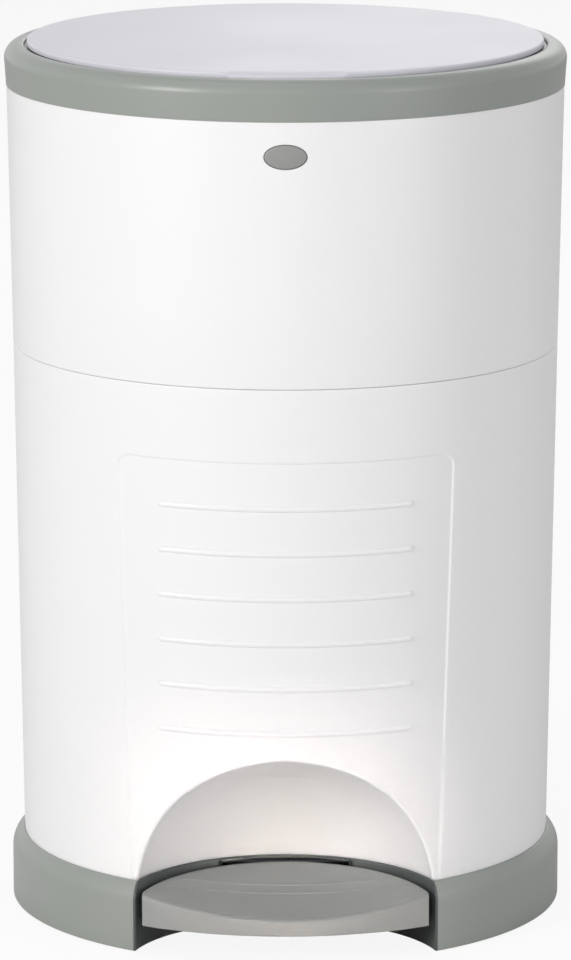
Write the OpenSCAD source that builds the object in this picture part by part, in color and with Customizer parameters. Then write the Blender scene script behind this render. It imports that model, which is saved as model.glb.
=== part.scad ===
// Pedal-operated nappy bin, in millimetres.
// Origin at the bottom centre on the bin's axis, +Z up, front (pedal) towards -Y.

/* [Outer form] */
// Outer radius of the base ring at the floor
base_r = 182.7; // [180:0.1:184]
// Height of the top of the base collar above the floor
base_h = 46.5; // [44:0.5:54]
// Outer radius of the lower housing at the base collar
foot_r = 174.6; // [172:0.1:176]
// Outer radius of both housings at the seam
seam_r = 179.5; // [178:0.1:182]
// Height of the seam between the lower and the upper housing
seam_z = 376.4; // [360:0.2:390]
// Outer radius of the upper housing under the rim
top_r = 182.6; // [181:0.1:185]
// Height of the lower edge of the top rim
rim_z = 549; // [540:0.5:580]
// Height of the top rim
rim_h = 25; // [24:0.5:34]
// How far the rim stands out from the upper housing
rim_proud = 1.4; // [0.8:0.1:3]
// Radial width of the rim as seen from above
rim_w = 13.2; // [12:0.1:14]

/* [Walls and clearances] */
// Wall of the moulded housings, base and pedal
wall = 3; // [2.6:0.1:3.2]
// Gap between moulded pieces that are fixed to each other
fit = 0.3; // [0.2:0.05:0.4]
// Radial running clearance of pins and rods in their bores
run = 0.05; // [0.03:0.01:0.08]
// Height of the floor gap under the base skirt
skirt_gap = 1; // [0.5:0.1:2]

/* [Base] */
// Depth of the seat that holds the lower housing
seat_d = 2.7; // [2:0.1:4]
// Radius of the rounded shoulder of the base
shoulder_r = 14.4; // [12:0.1:16]
// Radius of the round bite for the foot
bite_r = 101.8; // [100:0.1:102.2]
// Distance of the bite's centre in front of the axis
bite_y = 185; // [184:0.5:188]
// Half width of the slot for the pedal's tongue
slot_half = 42; // [40:0.5:46]
// Radius of a rubber foot
foot_pad_r = 11; // [9:0.5:13]
// Height of a rubber foot
foot_pad_h = 3; // [2.5:0.1:5]
// Distance from the edge of the base in to the middle of a rubber foot
foot_pad_in = 24.7; // [20:0.1:32]

/* [Front panel] */
// Height of the top edge of the recessed panel
panel_top = 329; // [315:0.5:340]
// Half width of the panel at its top
panel_half_top = 108; // [104:0.5:112]
// Half width of the panel at the base
panel_half_foot = 100; // [98:0.5:102]
// Radius of the panel's upper corners
panel_corner = 8.5; // [6:0.5:14]
// Depth of the panel's recess
panel_d = 0.95; // [0.6:0.05:1.2]
// Number of raised ribs
rib_n = 6; // [4:1:7]
// Height of the top rib
rib_top = 299; // [290:0.5:302]
// Distance between ribs
rib_pitch = 29.56; // [26:0.1:30]
// Half length of a rib across the front
rib_half = 82; // [70:0.5:84]
// Half the height of a rib as seen from the front
rib_r = 1.9; // [1.3:0.05:2.5]
// How far a rib stands out of the panel
rib_h = 1.2; // [0.6:0.05:1.4]

/* [Toe recess] */
// Radius of the domed toe recess
toe_r = 105; // [104.8:0.1:107]
// Height of the centre of the dome
toe_z = 28; // [26:0.5:34]

/* [Pedal] */
// Gap between the pedal and the bite
pedal_gap = 3; // [2.5:0.1:4]
// Half width of the pedal
pedal_half = 92.8; // [90:0.2:93.4]
// Height of the pedal's underside at rest
pedal_low = 19; // [18.5:0.1:22]
// Height of the pedal's front edge at rest
pedal_front_z = 30; // [28:0.5:32]
// Radius of the dished tread
dish_r = 520; // [510:5:580]
// Distance of the dish's centre in front of the axis
dish_y = 205; // [200:1:210]
// Height of the two tread ridges
ridge_h = 0.6; // [0.4:0.1:1]
// Width of a tread ridge
ridge_w = 2.4; // [1.8:0.1:3.5]
// Distance of the rear tread ridge in front of the axis
ridge_y = 120.5; // [118:0.5:123]
// Distance between the two tread ridges
ridge_pitch = 13.5; // [12:0.5:16]
// Distance of the pedal's pin in front of the axis
pivot_y = 40; // [36:0.5:44]
// Height of the pedal's pin
pivot_z = 30; // [29:0.2:30.8]
// Radius of the pedal's pin
pivot_r = 3; // [2.5:0.1:3.4]
// Half length of the pedal's pin
pivot_half = 50; // [46:0.5:54]
// Half width of the pedal's tongue
tongue_half = 36; // [32:0.5:38]
// Width of the lever's tail under the floor
tail_w = 26; // [20:1:30]
// Radius of the rounded tip of the lever
tip_r = 4; // [3.5:0.1:4.4]
// Height of the centre of the lever's tip at rest
tip_z = 9; // [8:0.2:9.5]

/* [Lid lift] */
// Radius of the push rods
rod_r = 3; // [2.5:0.1:3.5]
// Radius of the discs at the ends of the rods
rod_disc_r = 6; // [5:0.1:6.4]
// Thickness of the discs
rod_disc_t = 2; // [1.5:0.1:2.5]
// Gap in the chain of lever and rods at rest
rod_gap = 0.3; // [0.2:0.05:0.4]
// Gap between the upper rod and the lid's lever at rest
lever_gap = 0.5; // [0.45:0.05:0.7]
// How far the rods stand in from the tip of the lid's lever
tip_lead = 2.97; // [2.6:0.01:3.4]
// Angle of the lid's lever below the level at rest
lever_a = 40; // [38:0.5:42]
// Radius of the tip of the lid's lever
lever_tip_r = 3; // [2.4:0.1:3.2]
// Distance from the lid's hinge forward to the rods
rod_offset = 17; // [16:0.2:18]

/* [Lid] */
// Gap between the lid and the rim
lid_gap = 1.8; // [1.4:0.1:2.2]
// Thickness of the lid
lid_t = 3; // [2.6:0.1:3.2]
// How far the lid's edge stands above the top of the rim
lid_proud = 3.2; // [2.6:0.1:4]
// Rise of the lid's middle above its edge
lid_crown = 0.6; // [0.3:0.1:0.9]
// Half width of the finger scoop in the lid's front edge
scoop_half = 38; // [30:0.5:44]
// How far the finger scoop reaches back from the lid's edge
scoop_back = 8; // [6:0.5:9]
// Depth of the finger scoop at the lid's edge
scoop_d = 2; // [1:0.1:2.4]
// Depth of the stiffening skirt under the lid
skirt_d = 12; // [8:0.5:12.5]
// Distance from the lid's edge in to that skirt
skirt_in = 10.5; // [9.5:0.5:14]
// Half width of the lid's hinge
hinge_half = 54; // [48:0.5:56]
// Radius of the lid's hinge barrel
barrel_r = 4.5; // [4:0.1:4.8]
// Radius of the lid's pin
lid_pin_r = 2; // [1.6:0.1:2.2]

/* [Body hinge and latch] */
// Radius of the knuckles at the back of the seam
knuckle_r = 4.9; // [4.4:0.1:5.2]
// Length of a knuckle
knuckle_l = 10; // [8:0.5:10.6]
// Gap between knuckles
knuckle_gap = 0.5; // [0.3:0.1:0.8]
// Radius of the body's hinge pin
body_pin_r = 2.5; // [2:0.1:2.8]
// Depth of the spigot of the upper housing below the seam
spigot_d = 5; // [4:0.5:6]
// Gap around the spigot
spigot_gap = 0.5; // [0.4:0.05:0.7]
// Gap between the two housings at the seam
seam_gap = 0.3; // [0.2:0.05:0.5]
// Width of the release button
button_w = 27; // [24:0.5:30]
// Height of the release button
button_h = 15.4; // [13:0.2:17]
// Depth of the button's centre below the rim
button_drop = 23.2; // [21:0.2:30]
// Gap around the button
button_gap = 0.4; // [0.3:0.05:0.6]
// How far the button's middle stands out of the housing
button_proud = 1.2; // [0.6:0.1:1.6]
// Height of the latch's pin above the seam
latch_up = 73.6; // [60:0.2:80]
// Radius of the latch's pin
latch_pin_r = 2; // [1.6:0.1:2.4]
// Width of the latch lever
latch_w = 12; // [10:0.5:14]
// Engagement of the latch's barb under the strike
barb = 2.5; // [2:0.1:2.8]
// Thickness of the strike bracket
strike_t = 2.5; // [2:0.1:2.8]

/* [Hopper and liner] */
// Radius of the throat
throat_r = 72; // [68:0.5:74]
// Distance from the lid's skirt in to the hopper's cup
cup_in = 28.5; // [26:0.5:32]
// Depth of the hopper below the rim's lower edge
hopper_d = 76; // [72:0.5:80]
// Thickness of the hopper's floor
hopper_floor = 5; // [4:0.2:6]
// Gap between the neck of the throat and the film cassette
cassette_side = 5; // [4.5:0.5:9]
// Gap between the film cassette and the hopper's cup
cassette_gap = 2; // [1:0.5:10]
// Height of the film cassette
cassette_h = 44; // [38:0.5:46]
// Wall of the film cassette
cassette_t = 2.5; // [1.8:0.1:3]
// Height of the lid's seal
seal_h = 6; // [4:0.5:8]

/* [Trap doors] */
// Thickness of the trap frame
frame_t = 4; // [3.5:0.1:5]
// Radius of the trap frame
frame_r = 118; // [114:0.5:124]
// Thickness of the trap doors
flap_t = 3; // [2.4:0.1:3.2]
// Overlap of the trap doors over the edge of the throat
flap_lap = 4; // [2:0.5:5]
// Distance of the trap doors' pins outside the throat
flap_pin_out = 10; // [9:0.5:14]
// Radius of the trap doors' pins
flap_pin_r = 2; // [1.6:0.1:2.2]

/* [Hidden] */
$fn = 160;

white = "#f3f3f4";
grey = "#959b96";
steel = "#b9bcc0";
dark = "#3a3b3d";

// Far enough to pass any piece
far = 400;
// Overshoot of a cut past the face it leaves
cut = 1;

// Heights of the base, and the circles of its feet and screws
deck_top = base_h - seat_d;
deck_low = deck_top - wall;
floor_top = deck_top + wall;
foot_pad_at = base_r - foot_pad_in;
base_bolt_in = 24.6;
base_bolt_r = foot_r - base_bolt_in;

// Places of the lid
rim_r = top_r + rim_proud;
rim_in = rim_r - rim_w;
rim_top = rim_z + rim_h;
lid_r = rim_in - lid_gap;
lid_top = rim_top + lid_proud;
lid_low = lid_top - lid_t;
lid_hinge_in = 1;
lid_y = lid_r - lid_hinge_in;
lid_hinge_down = 2;
lid_z = lid_top - barrel_r - lid_hinge_down;
skirt_r = lid_r - skirt_in;
ledge_t = 3;
ledge_gap = 2.2;
ledge_side = 1.5;
ledge_top = lid_low - ledge_gap;
ledge_r = skirt_r + ledge_side;
rim_step = 7;
ear_t = 6.5;
ear_side = 1.5;
notch_x = hinge_half + ear_side + ear_t;
notch_drop = 9;
notch_z = lid_z - notch_drop;
notch_deep = 23;

// Line of the push rods, inside the hinge and the lower wall, and the lid's lever that reaches it
rod_clear = 2;
rod_y = min(lid_y - rod_offset, foot_r - wall - rod_disc_r - rod_clear);
lever_r = (lid_y - rod_y - tip_lead) / cos(lever_a);
lever_tip_y = lid_y - lever_r * cos(lever_a);
lever_tip_z = lid_z - lever_r * sin(lever_a);
rod_top = lever_tip_z - lever_tip_r - lever_gap;
rod_foot = tip_z + tip_r + rod_gap;
lower_rod_top = seam_z - rod_gap / 2;
upper_rod_low = seam_z + rod_gap / 2;
guide_half = 8;
guide_t = 6;
low_guide_up = 96;
mid_guide_down = 46;
top_guide_up = 44;
cover_half = 15;
cover_t = 2;
cover_deep = 12;
cover_y = rod_y - cover_deep;

// Places of the back hinge
hinge_in = 1.5;
hinge_y = seam_r - hinge_in;
pocket_half = 32;
pocket_d = 13;
pocket_in = hinge_y - pocket_d;
pocket_h = 10.4;
knuckle_step = knuckle_l + knuckle_gap;

// Places of the button, the latch and its strike
button_z = rim_z - button_drop;
button_face = upper_r(button_z) + button_proud;
button_play = 1.2;
button_back = upper_r(button_z) - wall - button_play;
flange_t = 2.5;
flange_w = 2;
latch_t = 3;
latch_depth = 12;
latch_y = -(min(seam_r, upper_r(button_z)) - latch_depth);
latch_z = seam_z + latch_up;
latch_out = latch_y - latch_t / 2;
latch_in = latch_y + latch_t / 2;
latch_ear = 4;
latch_ear_x = 16;
latch_ear_h = 6;
strike_gap = 1;
strike_out = latch_in + strike_gap;
strike_drop = 6.4;
strike_low = seam_z - strike_drop;
strike_h = 4;
strike_half = 34;
strike_gate = 20;
strike_tab_x = (strike_gate + strike_half) / 2;
strike_tab_h = 6;
strike_screw_drop = 10;
strike_screw_z = strike_low - strike_screw_drop;

// Hopper and trap door heights
cup_r = skirt_r - cup_in;
flange_top = rim_z;
cup_low = flange_top - hopper_d;
cup_floor = cup_low + hopper_floor;
collar_out = 8;
collar_r = cup_r + collar_out;
collar_t = 3;
collar_top = lid_low - seal_h - fit;
seal_lap = 2;
bolt_boss_r = 5;
hopper_bolt_r = ledge_r + bolt_boss_r;
flange_edge = 6;
flange_r = hopper_bolt_r + flange_edge;
cassette_in = throat_r + wall + cassette_side;
cassette_out = cup_r - cassette_gap;
frame_low = cup_low - frame_t;
flap_top = frame_low - fit;
flap_pin_x = throat_r + flap_pin_out;
flap_pin_drop = 5;
flap_pin_z = frame_low - flap_pin_drop;
flap_barrel_r = 4;
flap_half = 55;
ear_y = 60;
trap_ear_t = 5;
trap_ear_half = 5;
trap_bolt_in = 13;
trap_bolt_r = frame_r - trap_bolt_in;

// Film cutter under the front of the trap frame
cutter_out = 30;
cutter_y = -(throat_r + cutter_out);
cutter_half = 25;
cutter_deep = 10;
cutter_h = 24;
blade_t = 0.6;
blade_half = 8;
blade_roof = 4;

// Screws: radius of the shank and of the head, and height of the head
screw_r = 1.95;
pilot_r = 2;
screw_hole_r = 2.3;
head_r = 4;
head_h = 2.5;
base_grip = 5;
lever_grip = 4;
strike_grip = 7;
hopper_grip = 10;
base_bolt_angles = [-20, 20, 60, 120, 160, 200];
diagonal_angles = [45, 135, 225, 315];

// Places of the pedal's lever, its tongue and its screws
wall_back = -bite_y + bite_r + wall;
tongue_root = 20;
tongue_end = 18;
lever_clear = 2.2;
tongue_front = wall_back - tongue_root;
tongue_back = wall_back + tongue_end;
lever_front = wall_back + lever_clear;
lever_half = 37;
lever_hub_r = 8;
lever_t = 8;
lever_screw_x = 22;
lever_screw_y = (tongue_back + lever_front) / 2;

function lower_r(z) = foot_r + (seam_r - foot_r) * (z - base_h) / (seam_z - base_h);
function upper_r(z) = seam_r + (top_r - seam_r) * (z - seam_z) / (rim_z - seam_z);

// Tapered solid of the lower housing between two heights, drawn in by an inset
module lower_solid(z1, z2, inset) {
    translate([0, 0, z1])
        cylinder(h = z2 - z1, r1 = lower_r(z1) - inset, r2 = lower_r(z2) - inset);
}

// Tapered solid of the upper housing between two heights, drawn in by an inset
module upper_solid(z1, z2, inset) {
    translate([0, 0, z1])
        cylinder(h = z2 - z1, r1 = upper_r(z1) - inset, r2 = upper_r(z2) - inset);
}

// Box between two corners
module block(a, b) {
    translate(a) cube(b - a);
}

// Bar along X, centred on the plane x = 0
module bar_x(y, z, r, half) {
    translate([-half, y, z]) rotate([0, 90, 0]) cylinder(h = 2 * half, r = r);
}

// Bar along X from x1 to x2
module rod_x(y, z, r, x1, x2) {
    translate([x1, y, z]) rotate([0, 90, 0]) cylinder(h = x2 - x1, r = r);
}

// Bar along Y from y1 to y2
module rod_y_bar(x, z, r, y1, y2) {
    translate([x, y1, z]) rotate([-90, 0, 0]) cylinder(h = y2 - y1, r = r);
}

// Ring between two radii and two heights
module ring(r1, r2, z1, z2) {
    difference() {
        translate([0, 0, z1]) cylinder(h = z2 - z1, r = r2);
        translate([0, 0, z1 - cut]) cylinder(h = z2 - z1 + 2 * cut, r = r1);
    }
}

// Screw pointing up, with the underside of its head at z = 0
module screw(length) {
    translate([0, 0, -head_h]) cylinder(h = head_h, r = head_r);
    cylinder(h = length, r = screw_r);
}

// Wound wire round the Z axis, from z = 0 up
module coil(mean_r, wire_r, turns, pitch) {
    sides = 6;
    steps = 12;
    n = turns * steps;
    pts = [
        for (i = [0 : n], k = [0 : sides - 1])
            let (a = 360 * i / steps, b = 360 * k / sides, q = mean_r + wire_r * cos(b))
                [q * cos(a), q * sin(a), wire_r * (1 + sin(b)) + pitch * i / steps]
    ];
    walls = [
        for (i = [0 : n - 1], k = [0 : sides - 1])
            let (m = (k + 1) % sides, a = i * sides, b = (i + 1) * sides)
                [a + k, a + m, b + m, b + k]
    ];
    first = [[for (k = [sides - 1 : -1 : 0]) k]];
    last = [[for (k = [0 : sides - 1]) n * sides + k]];
    polyhedron(points = pts, faces = concat(walls, first, last), convexity = 8);
}

// Outline of the recessed front panel, x across and y up
module panel_outline() {
    corner_x = panel_half_top - panel_corner;
    corner_z = panel_top - panel_corner;
    polygon([
        [-panel_half_foot, deck_low], [panel_half_foot, deck_low],
        [panel_half_top, corner_z], [-panel_half_top, corner_z]
    ]);
    translate([-corner_x, corner_z - cut]) square([2 * corner_x, panel_corner + cut]);
    for (s = [-1, 1])
        translate([s * corner_x, corner_z]) circle(panel_corner);
}

// Everything in front of the recessed panel surface
module panel_recess() {
    difference() {
        translate([0, -foot_r / 2, 0]) rotate([90, 0, 0]) linear_extrude(far / 2) panel_outline();
        lower_solid(0, seam_z, panel_d);
    }
}

// Raised rib on the panel at height z, with round ends
module rib(z) {
    intersection() {
        translate([0, -foot_r / 2, z]) rotate([90, 0, 0]) linear_extrude(far / 2) {
            square([2 * (rib_half - rib_r), 2 * rib_r], center = true);
            for (s = [-1, 1]) translate([s * (rib_half - rib_r), 0]) circle(rib_r);
        }
        lower_solid(z - 2 * rib_r, z + 2 * rib_r, panel_d - rib_h);
    }
}

// Domed wall of the toe recess, or the dome itself
module toe_dome(r) {
    translate([0, -bite_y, toe_z]) sphere(r);
}

// Pilot holes or bosses of the base screws
module at_base_bolts() {
    for (a = base_bolt_angles)
        rotate([0, 0, a]) translate([base_bolt_r, 0, 0]) children();
}

module lower_housing() {
    boss_h = 10;
    boss_r = 5;
    rib_root = 0.5;
    strike_pilot = 8;
    web_y = 4;
    color(white) difference() {
        union() {
            difference() {
                lower_solid(deck_top, seam_z, 0);
                lower_solid(floor_top, seam_z + cut, wall);
                toe_dome(toe_r);
                panel_recess();
            }
            intersection() {
                lower_solid(deck_top, seam_z, panel_d);
                difference() {
                    toe_dome(toe_r + wall);
                    toe_dome(toe_r);
                }
            }
            difference() {
                for (i = [0 : rib_n - 1]) rib(rib_top - i * rib_pitch);
                lower_solid(deck_top, seam_z, wall - rib_root);
            }
            at_base_bolts() translate([0, 0, deck_top]) cylinder(h = wall + boss_h, r = boss_r);
            intersection() {
                lower_solid(deck_top, seam_z, wall / 2);
                for (s = [-1, 1])
                    block(
                        [min(s * strike_gate, s * strike_half), -far, strike_screw_z - strike_tab_h],
                        [
                            max(s * strike_gate, s * strike_half), strike_out,
                            seam_z - spigot_d - strike_gap
                        ]
                    );
            }
            intersection() {
                lower_solid(deck_top, seam_z, 0);
                block(
                    [-pocket_half - wall, pocket_in - wall, seam_z - pocket_h - wall],
                    [pocket_half + wall, far, seam_z]
                );
            }
        }
        block([-pocket_half, pocket_in, seam_z - pocket_h], [pocket_half, far, seam_z + cut]);
        translate([0, rod_y, 0]) cylinder(h = base_h + boss_h, r = rod_r + fit);
        translate([0, rod_y, seam_z - pocket_h - wall - cut]) cylinder(h = far, r = rod_disc_r + fit);
        at_base_bolts() translate([0, 0, deck_top - cut]) cylinder(h = boss_h + cut, r = pilot_r);
        for (s = [-1, 1])
            rod_y_bar(
                s * strike_tab_x, strike_screw_z, pilot_r,
                strike_out - strike_pilot, strike_out + cut
            );
    }
    color(white) for (s = [-1, 1]) difference() {
        union() {
            translate([s * knuckle_step, 0, 0]) bar_x(hinge_y, seam_z, knuckle_r, knuckle_l / 2);
            translate([s * knuckle_step, 0, 0])
                block(
                    [-knuckle_l / 2, hinge_y - web_y, seam_z - pocket_h - wall / 2],
                    [knuckle_l / 2, hinge_y, seam_z]
                );
        }
        bar_x(hinge_y, seam_z, body_pin_r + run, pocket_half);
    }
}

// Section of the base, radius across and height up, drawn in by an inset
module base_section(low, high, inset) {
    lip = 0.3;
    centre = base_r - shoulder_r;
    reach = min(lower_r(base_h) + fit + lip - centre, shoulder_r);
    shoulder_z = base_h - sqrt(pow(shoulder_r, 2) - pow(reach, 2));
    intersection() {
        union() {
            translate([0, low]) square([centre, high - low]);
            translate([0, low]) square([base_r - inset, shoulder_z - low]);
            translate([centre, shoulder_z]) circle(shoulder_r - inset);
        }
        translate([0, low]) square([base_r, high - low]);
    }
}

module base_ring() {
    boss_r = foot_pad_r + wall;
    ear_x = 44;
    ear_r = 9;
    slot_under = 1.5;
    color(grey) difference() {
        union() {
            difference() {
                rotate_extrude() base_section(skirt_gap, base_h, 0);
                rotate_extrude() base_section(skirt_gap - cut, deck_low, wall);
                translate([0, 0, deck_top]) cylinder(h = far, r = lower_r(base_h) + fit);
            }
            intersection() {
                rotate_extrude() base_section(skirt_gap, deck_top, 0);
                translate([0, -bite_y, 0]) cylinder(h = far, r = bite_r + wall);
            }
            intersection() {
                rotate_extrude() base_section(skirt_gap, base_h, 0);
                translate([0, -bite_y, 0])
                    cylinder(h = far, r = sqrt(pow(toe_r, 2) - pow(base_h - toe_z, 2)) - fit);
            }
            for (a = diagonal_angles)
                rotate([0, 0, a]) translate([foot_pad_at, 0, foot_pad_h])
                    cylinder(h = deck_top - foot_pad_h, r = boss_r);
            for (s = [-1, 1]) {
                x1 = min(s * ear_x, s * pivot_half);
                x2 = max(s * ear_x, s * pivot_half);
                rod_x(-pivot_y, pivot_z, ear_r, x1, x2);
                block([x1, -pivot_y - ear_r, pivot_z], [x2, -pivot_y + ear_r, deck_top]);
            }
        }
        translate([0, -bite_y, -cut]) cylinder(h = far, r = bite_r);
        block(
            [-slot_half, -bite_y + bite_r / 2, pedal_low + slot_under],
            [slot_half, -bite_y + bite_r + 4 * wall, deck_top + cut]
        );
        bar_x(-pivot_y, pivot_z, pivot_r + run, pivot_half + cut);
        translate([0, rod_y, 0]) cylinder(h = far, r = rod_r + fit);
        at_base_bolts() cylinder(h = far, r = screw_hole_r);
        for (a = diagonal_angles)
            rotate([0, 0, a]) translate([foot_pad_at, 0, 0])
                cylinder(h = 3 * foot_pad_h, r = foot_pad_r / 2);
    }
}

module rubber_feet() {
    color(dark) for (a = diagonal_angles)
        rotate([0, 0, a]) translate([foot_pad_at, 0, 0]) {
            cylinder(h = foot_pad_h, r = foot_pad_r);
            cylinder(h = 3 * foot_pad_h - fit, r = foot_pad_r / 2 - run);
        }
}

module base_screws() {
    color(steel) at_base_bolts() translate([0, 0, deck_low]) screw(2 * wall + base_grip);
}

// Lens shape of the pedal in plan, drawn in by an inset
module pedal_plan(inset) {
    intersection() {
        circle(base_r - inset);
        translate([0, -bite_y]) circle(bite_r - pedal_gap - inset);
        translate([-pedal_half + inset, -far]) square([2 * (pedal_half - inset), far]);
    }
}

// Space under the dished tread, lowered by a drop
module under_tread(drop) {
    centre = pedal_front_z + sqrt(pow(dish_r, 2) - pow(dish_y - base_r, 2));
    difference() {
        block([-far / 2, -far / 2, pedal_low - cut], [far / 2, 0, 2 * deck_top]);
        translate([0, -dish_y, centre]) sphere(dish_r + drop);
    }
}

// Part of the pedal's plan, from its underside up to the tread
module tread_solid(inset, drop, from) {
    intersection() {
        translate([0, 0, from]) linear_extrude(deck_top) pedal_plan(inset);
        under_tread(drop);
    }
}

module pedal() {
    ridge_half = 68;
    ridge_more = 11;
    tongue_t = 6;
    stiffeners = [-45, 0, 45];
    color(grey) difference() {
        union() {
            difference() {
                tread_solid(0, 0, pedal_low);
                tread_solid(wall, wall, pedal_low - cut);
            }
            intersection() {
                tread_solid(wall / 2, wall / 2, pedal_low);
                for (x = stiffeners)
                    block([x - wall / 2, -far, pedal_low], [x + wall / 2, 0, deck_top]);
            }
            difference() {
                intersection() {
                    translate([0, 0, pedal_front_z - wall]) linear_extrude(deck_top) for (i = [0, 1])
                        intersection() {
                            translate([0, -ridge_y - i * ridge_pitch])
                                square([2 * (ridge_half + i * ridge_more), ridge_w], center = true);
                            pedal_plan(wall);
                        }
                    under_tread(-ridge_h);
                }
                under_tread(wall / 2);
            }
            block([-tongue_half, tongue_front, pivot_z], [tongue_half, tongue_back, pivot_z + tongue_t]);
        }
        at_lever_screws() translate([0, 0, pivot_z - cut]) cylinder(h = tongue_t, r = pilot_r);
    }
}

module at_lever_screws() {
    for (s = [-1, 1])
        translate([s * lever_screw_x, lever_screw_y, 0]) children();
}

module pedal_lever() {
    run_y = rod_y + pivot_y;
    drop = pivot_z - tip_z;
    tail_t = 6;
    color(steel) difference() {
        union() {
            bar_x(-pivot_y, pivot_z, lever_hub_r, lever_half);
            block([-lever_half, lever_front, pivot_z - lever_t], [lever_half, -pivot_y, pivot_z]);
            translate([0, -pivot_y, pivot_z]) rotate([-atan(drop / run_y), 0, 0])
                block(
                    [-tail_w / 2, 0, -tail_t / 2],
                    [tail_w / 2, sqrt(pow(run_y, 2) + pow(drop, 2)), tail_t / 2]
                );
            bar_x(rod_y, tip_z, tip_r, tail_w / 2);
        }
        bar_x(-pivot_y, pivot_z, pivot_r + run, lever_half + cut);
        at_lever_screws() cylinder(h = far, r = screw_hole_r);
    }
}

module lever_screws() {
    color(steel) at_lever_screws() translate([0, 0, pivot_z - lever_t]) screw(lever_t + lever_grip);
}

module pedal_pin() {
    color(steel) bar_x(-pivot_y, pivot_z, pivot_r, pivot_half);
}

module pedal_spring() {
    wire = 0.6;
    color(steel) translate([lever_half + fit, -pivot_y, pivot_z]) rotate([0, 90, 0])
        coil(pivot_r + fit + wire, wire, 2.5, 1.75);
}

// Push rod with a disc at each end
module push_rod(low, high) {
    translate([0, rod_y, low]) {
        cylinder(h = high - low, r = rod_r);
        cylinder(h = rod_disc_t, r = rod_disc_r);
        translate([0, 0, high - low - rod_disc_t]) cylinder(h = rod_disc_t, r = rod_disc_r);
    }
}

module lower_pushrod() {
    color(steel) push_rod(rod_foot, lower_rod_top);
}

module upper_pushrod() {
    color(steel) push_rod(upper_rod_low, rod_top);
}

// Arm from the housing's wall to the rod, with its bore
module rod_guide_blank(z) {
    difference() {
        block([-guide_half, rod_y - guide_half, z], [guide_half, far, z + guide_t]);
        translate([0, rod_y, z - cut]) cylinder(h = guide_t + 2 * cut, r = rod_r + run);
    }
}

module lower_rod_guides() {
    color(white) intersection() {
        for (z = [deck_top + low_guide_up, seam_z - mid_guide_down]) rod_guide_blank(z);
        lower_solid(deck_top, seam_z, wall + fit);
    }
}

module upper_rod_guide() {
    color(white) intersection() {
        rod_guide_blank(seam_z + top_guide_up);
        upper_solid(seam_z, rim_z, wall + fit);
    }
}

module rod_cover() {
    top_gap = 3;
    top = seam_z - pocket_h - wall - top_gap;
    color(white) intersection() {
        difference() {
            block([-cover_half, cover_y, floor_top], [cover_half, far, top]);
            block(
                [-cover_half + cover_t, cover_y + cover_t, floor_top - cut],
                [cover_half - cover_t, far + cut, top - cover_t]
            );
            translate([0, rod_y, 0]) cylinder(h = far, r = rod_r + fit);
        }
        lower_solid(deck_top, seam_z, wall + fit);
    }
}

module strike_bracket() {
    tab_w = strike_half - strike_gate;
    color(steel) difference() {
        translate([0, strike_out + strike_t, 0]) rotate([90, 0, 0]) linear_extrude(strike_t) {
            translate([-strike_half, strike_low]) square([2 * strike_half, strike_h]);
            for (s = [-1, 1])
                translate([s * strike_tab_x - tab_w / 2, strike_screw_z - strike_tab_h])
                    square([tab_w, strike_screw_drop + strike_h + strike_tab_h]);
        }
        at_strike_screws() rotate([90, 0, 0]) translate([0, 0, -cut])
            cylinder(h = far / 8, r = screw_hole_r);
    }
}

// Places of the strike's screws, on its inner face
module at_strike_screws() {
    for (s = [-1, 1])
        translate([s * strike_tab_x, strike_out + strike_t, strike_screw_z]) children();
}

module strike_screws() {
    color(steel) at_strike_screws() rotate([90, 0, 0]) screw(strike_t + strike_grip);
}

module body_hinge_pin() {
    color(steel) bar_x(hinge_y, seam_z, body_pin_r, 2.5 * knuckle_step + 1);
}

// Oval across X and Z, pushed back along -Y from y1 to y2
module oval_prism(w, h, y1, y2) {
    translate([0, -y1, button_z]) rotate([90, 0, 0]) linear_extrude(y2 - y1)
        scale([w / h, 1]) circle(h / 2);
}

module upper_housing() {
    spigot_out = seam_r - wall - spigot_gap;
    spigot_in = spigot_out - wall;
    collar_h = 6;
    web_y = 4;
    low = seam_z + seam_gap;
    color(white) difference() {
        union() {
            difference() {
                upper_solid(low, rim_z, 0);
                upper_solid(low - cut, rim_z + cut, wall);
            }
            ring(spigot_in, spigot_out, seam_z - spigot_d, seam_z + collar_h);
            intersection() {
                ring(spigot_in, seam_r, low, seam_z + collar_h);
                upper_solid(low, rim_z, wall / 2);
            }
            intersection() {
                upper_solid(low, rim_z, 0);
                block(
                    [-pocket_half - wall, pocket_in - wall, low],
                    [pocket_half + wall, far, seam_z + pocket_h + wall]
                );
            }
            intersection() {
                upper_solid(low, rim_z, wall / 2);
                for (s = [-1, 1])
                    translate([s * (latch_ear_x + latch_ear / 2), 0, latch_z])
                        block(
                            [-latch_ear / 2, -far, -latch_ear_h],
                            [latch_ear / 2, latch_y + latch_ear_h - cut, latch_ear_h]
                        );
            }
        }
        block([-pocket_half, pocket_in, low - cut], [pocket_half, far, seam_z + pocket_h]);
        block([-pocket_half - wall, pocket_in - wall, 0], [pocket_half + wall, far, low]);
        translate([0, rod_y, low - cut]) cylinder(h = far, r = rod_disc_r + fit);
        oval_prism(button_w + 2 * button_gap, button_h + 2 * button_gap, seam_r / 2, far / 2);
        bar_x(latch_y, latch_z, latch_pin_r + run, latch_ear_x + latch_ear + cut);
    }
    color(white) for (k = [-2, 0, 2]) difference() {
        translate([k * knuckle_step, 0, 0]) union() {
            bar_x(hinge_y, seam_z, knuckle_r, knuckle_l / 2);
            block(
                [-knuckle_l / 2, hinge_y - web_y, seam_z],
                [knuckle_l / 2, hinge_y, seam_z + pocket_h + wall / 2]
            );
        }
        bar_x(hinge_y, seam_z, body_pin_r + run, pocket_half);
    }
}

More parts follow.
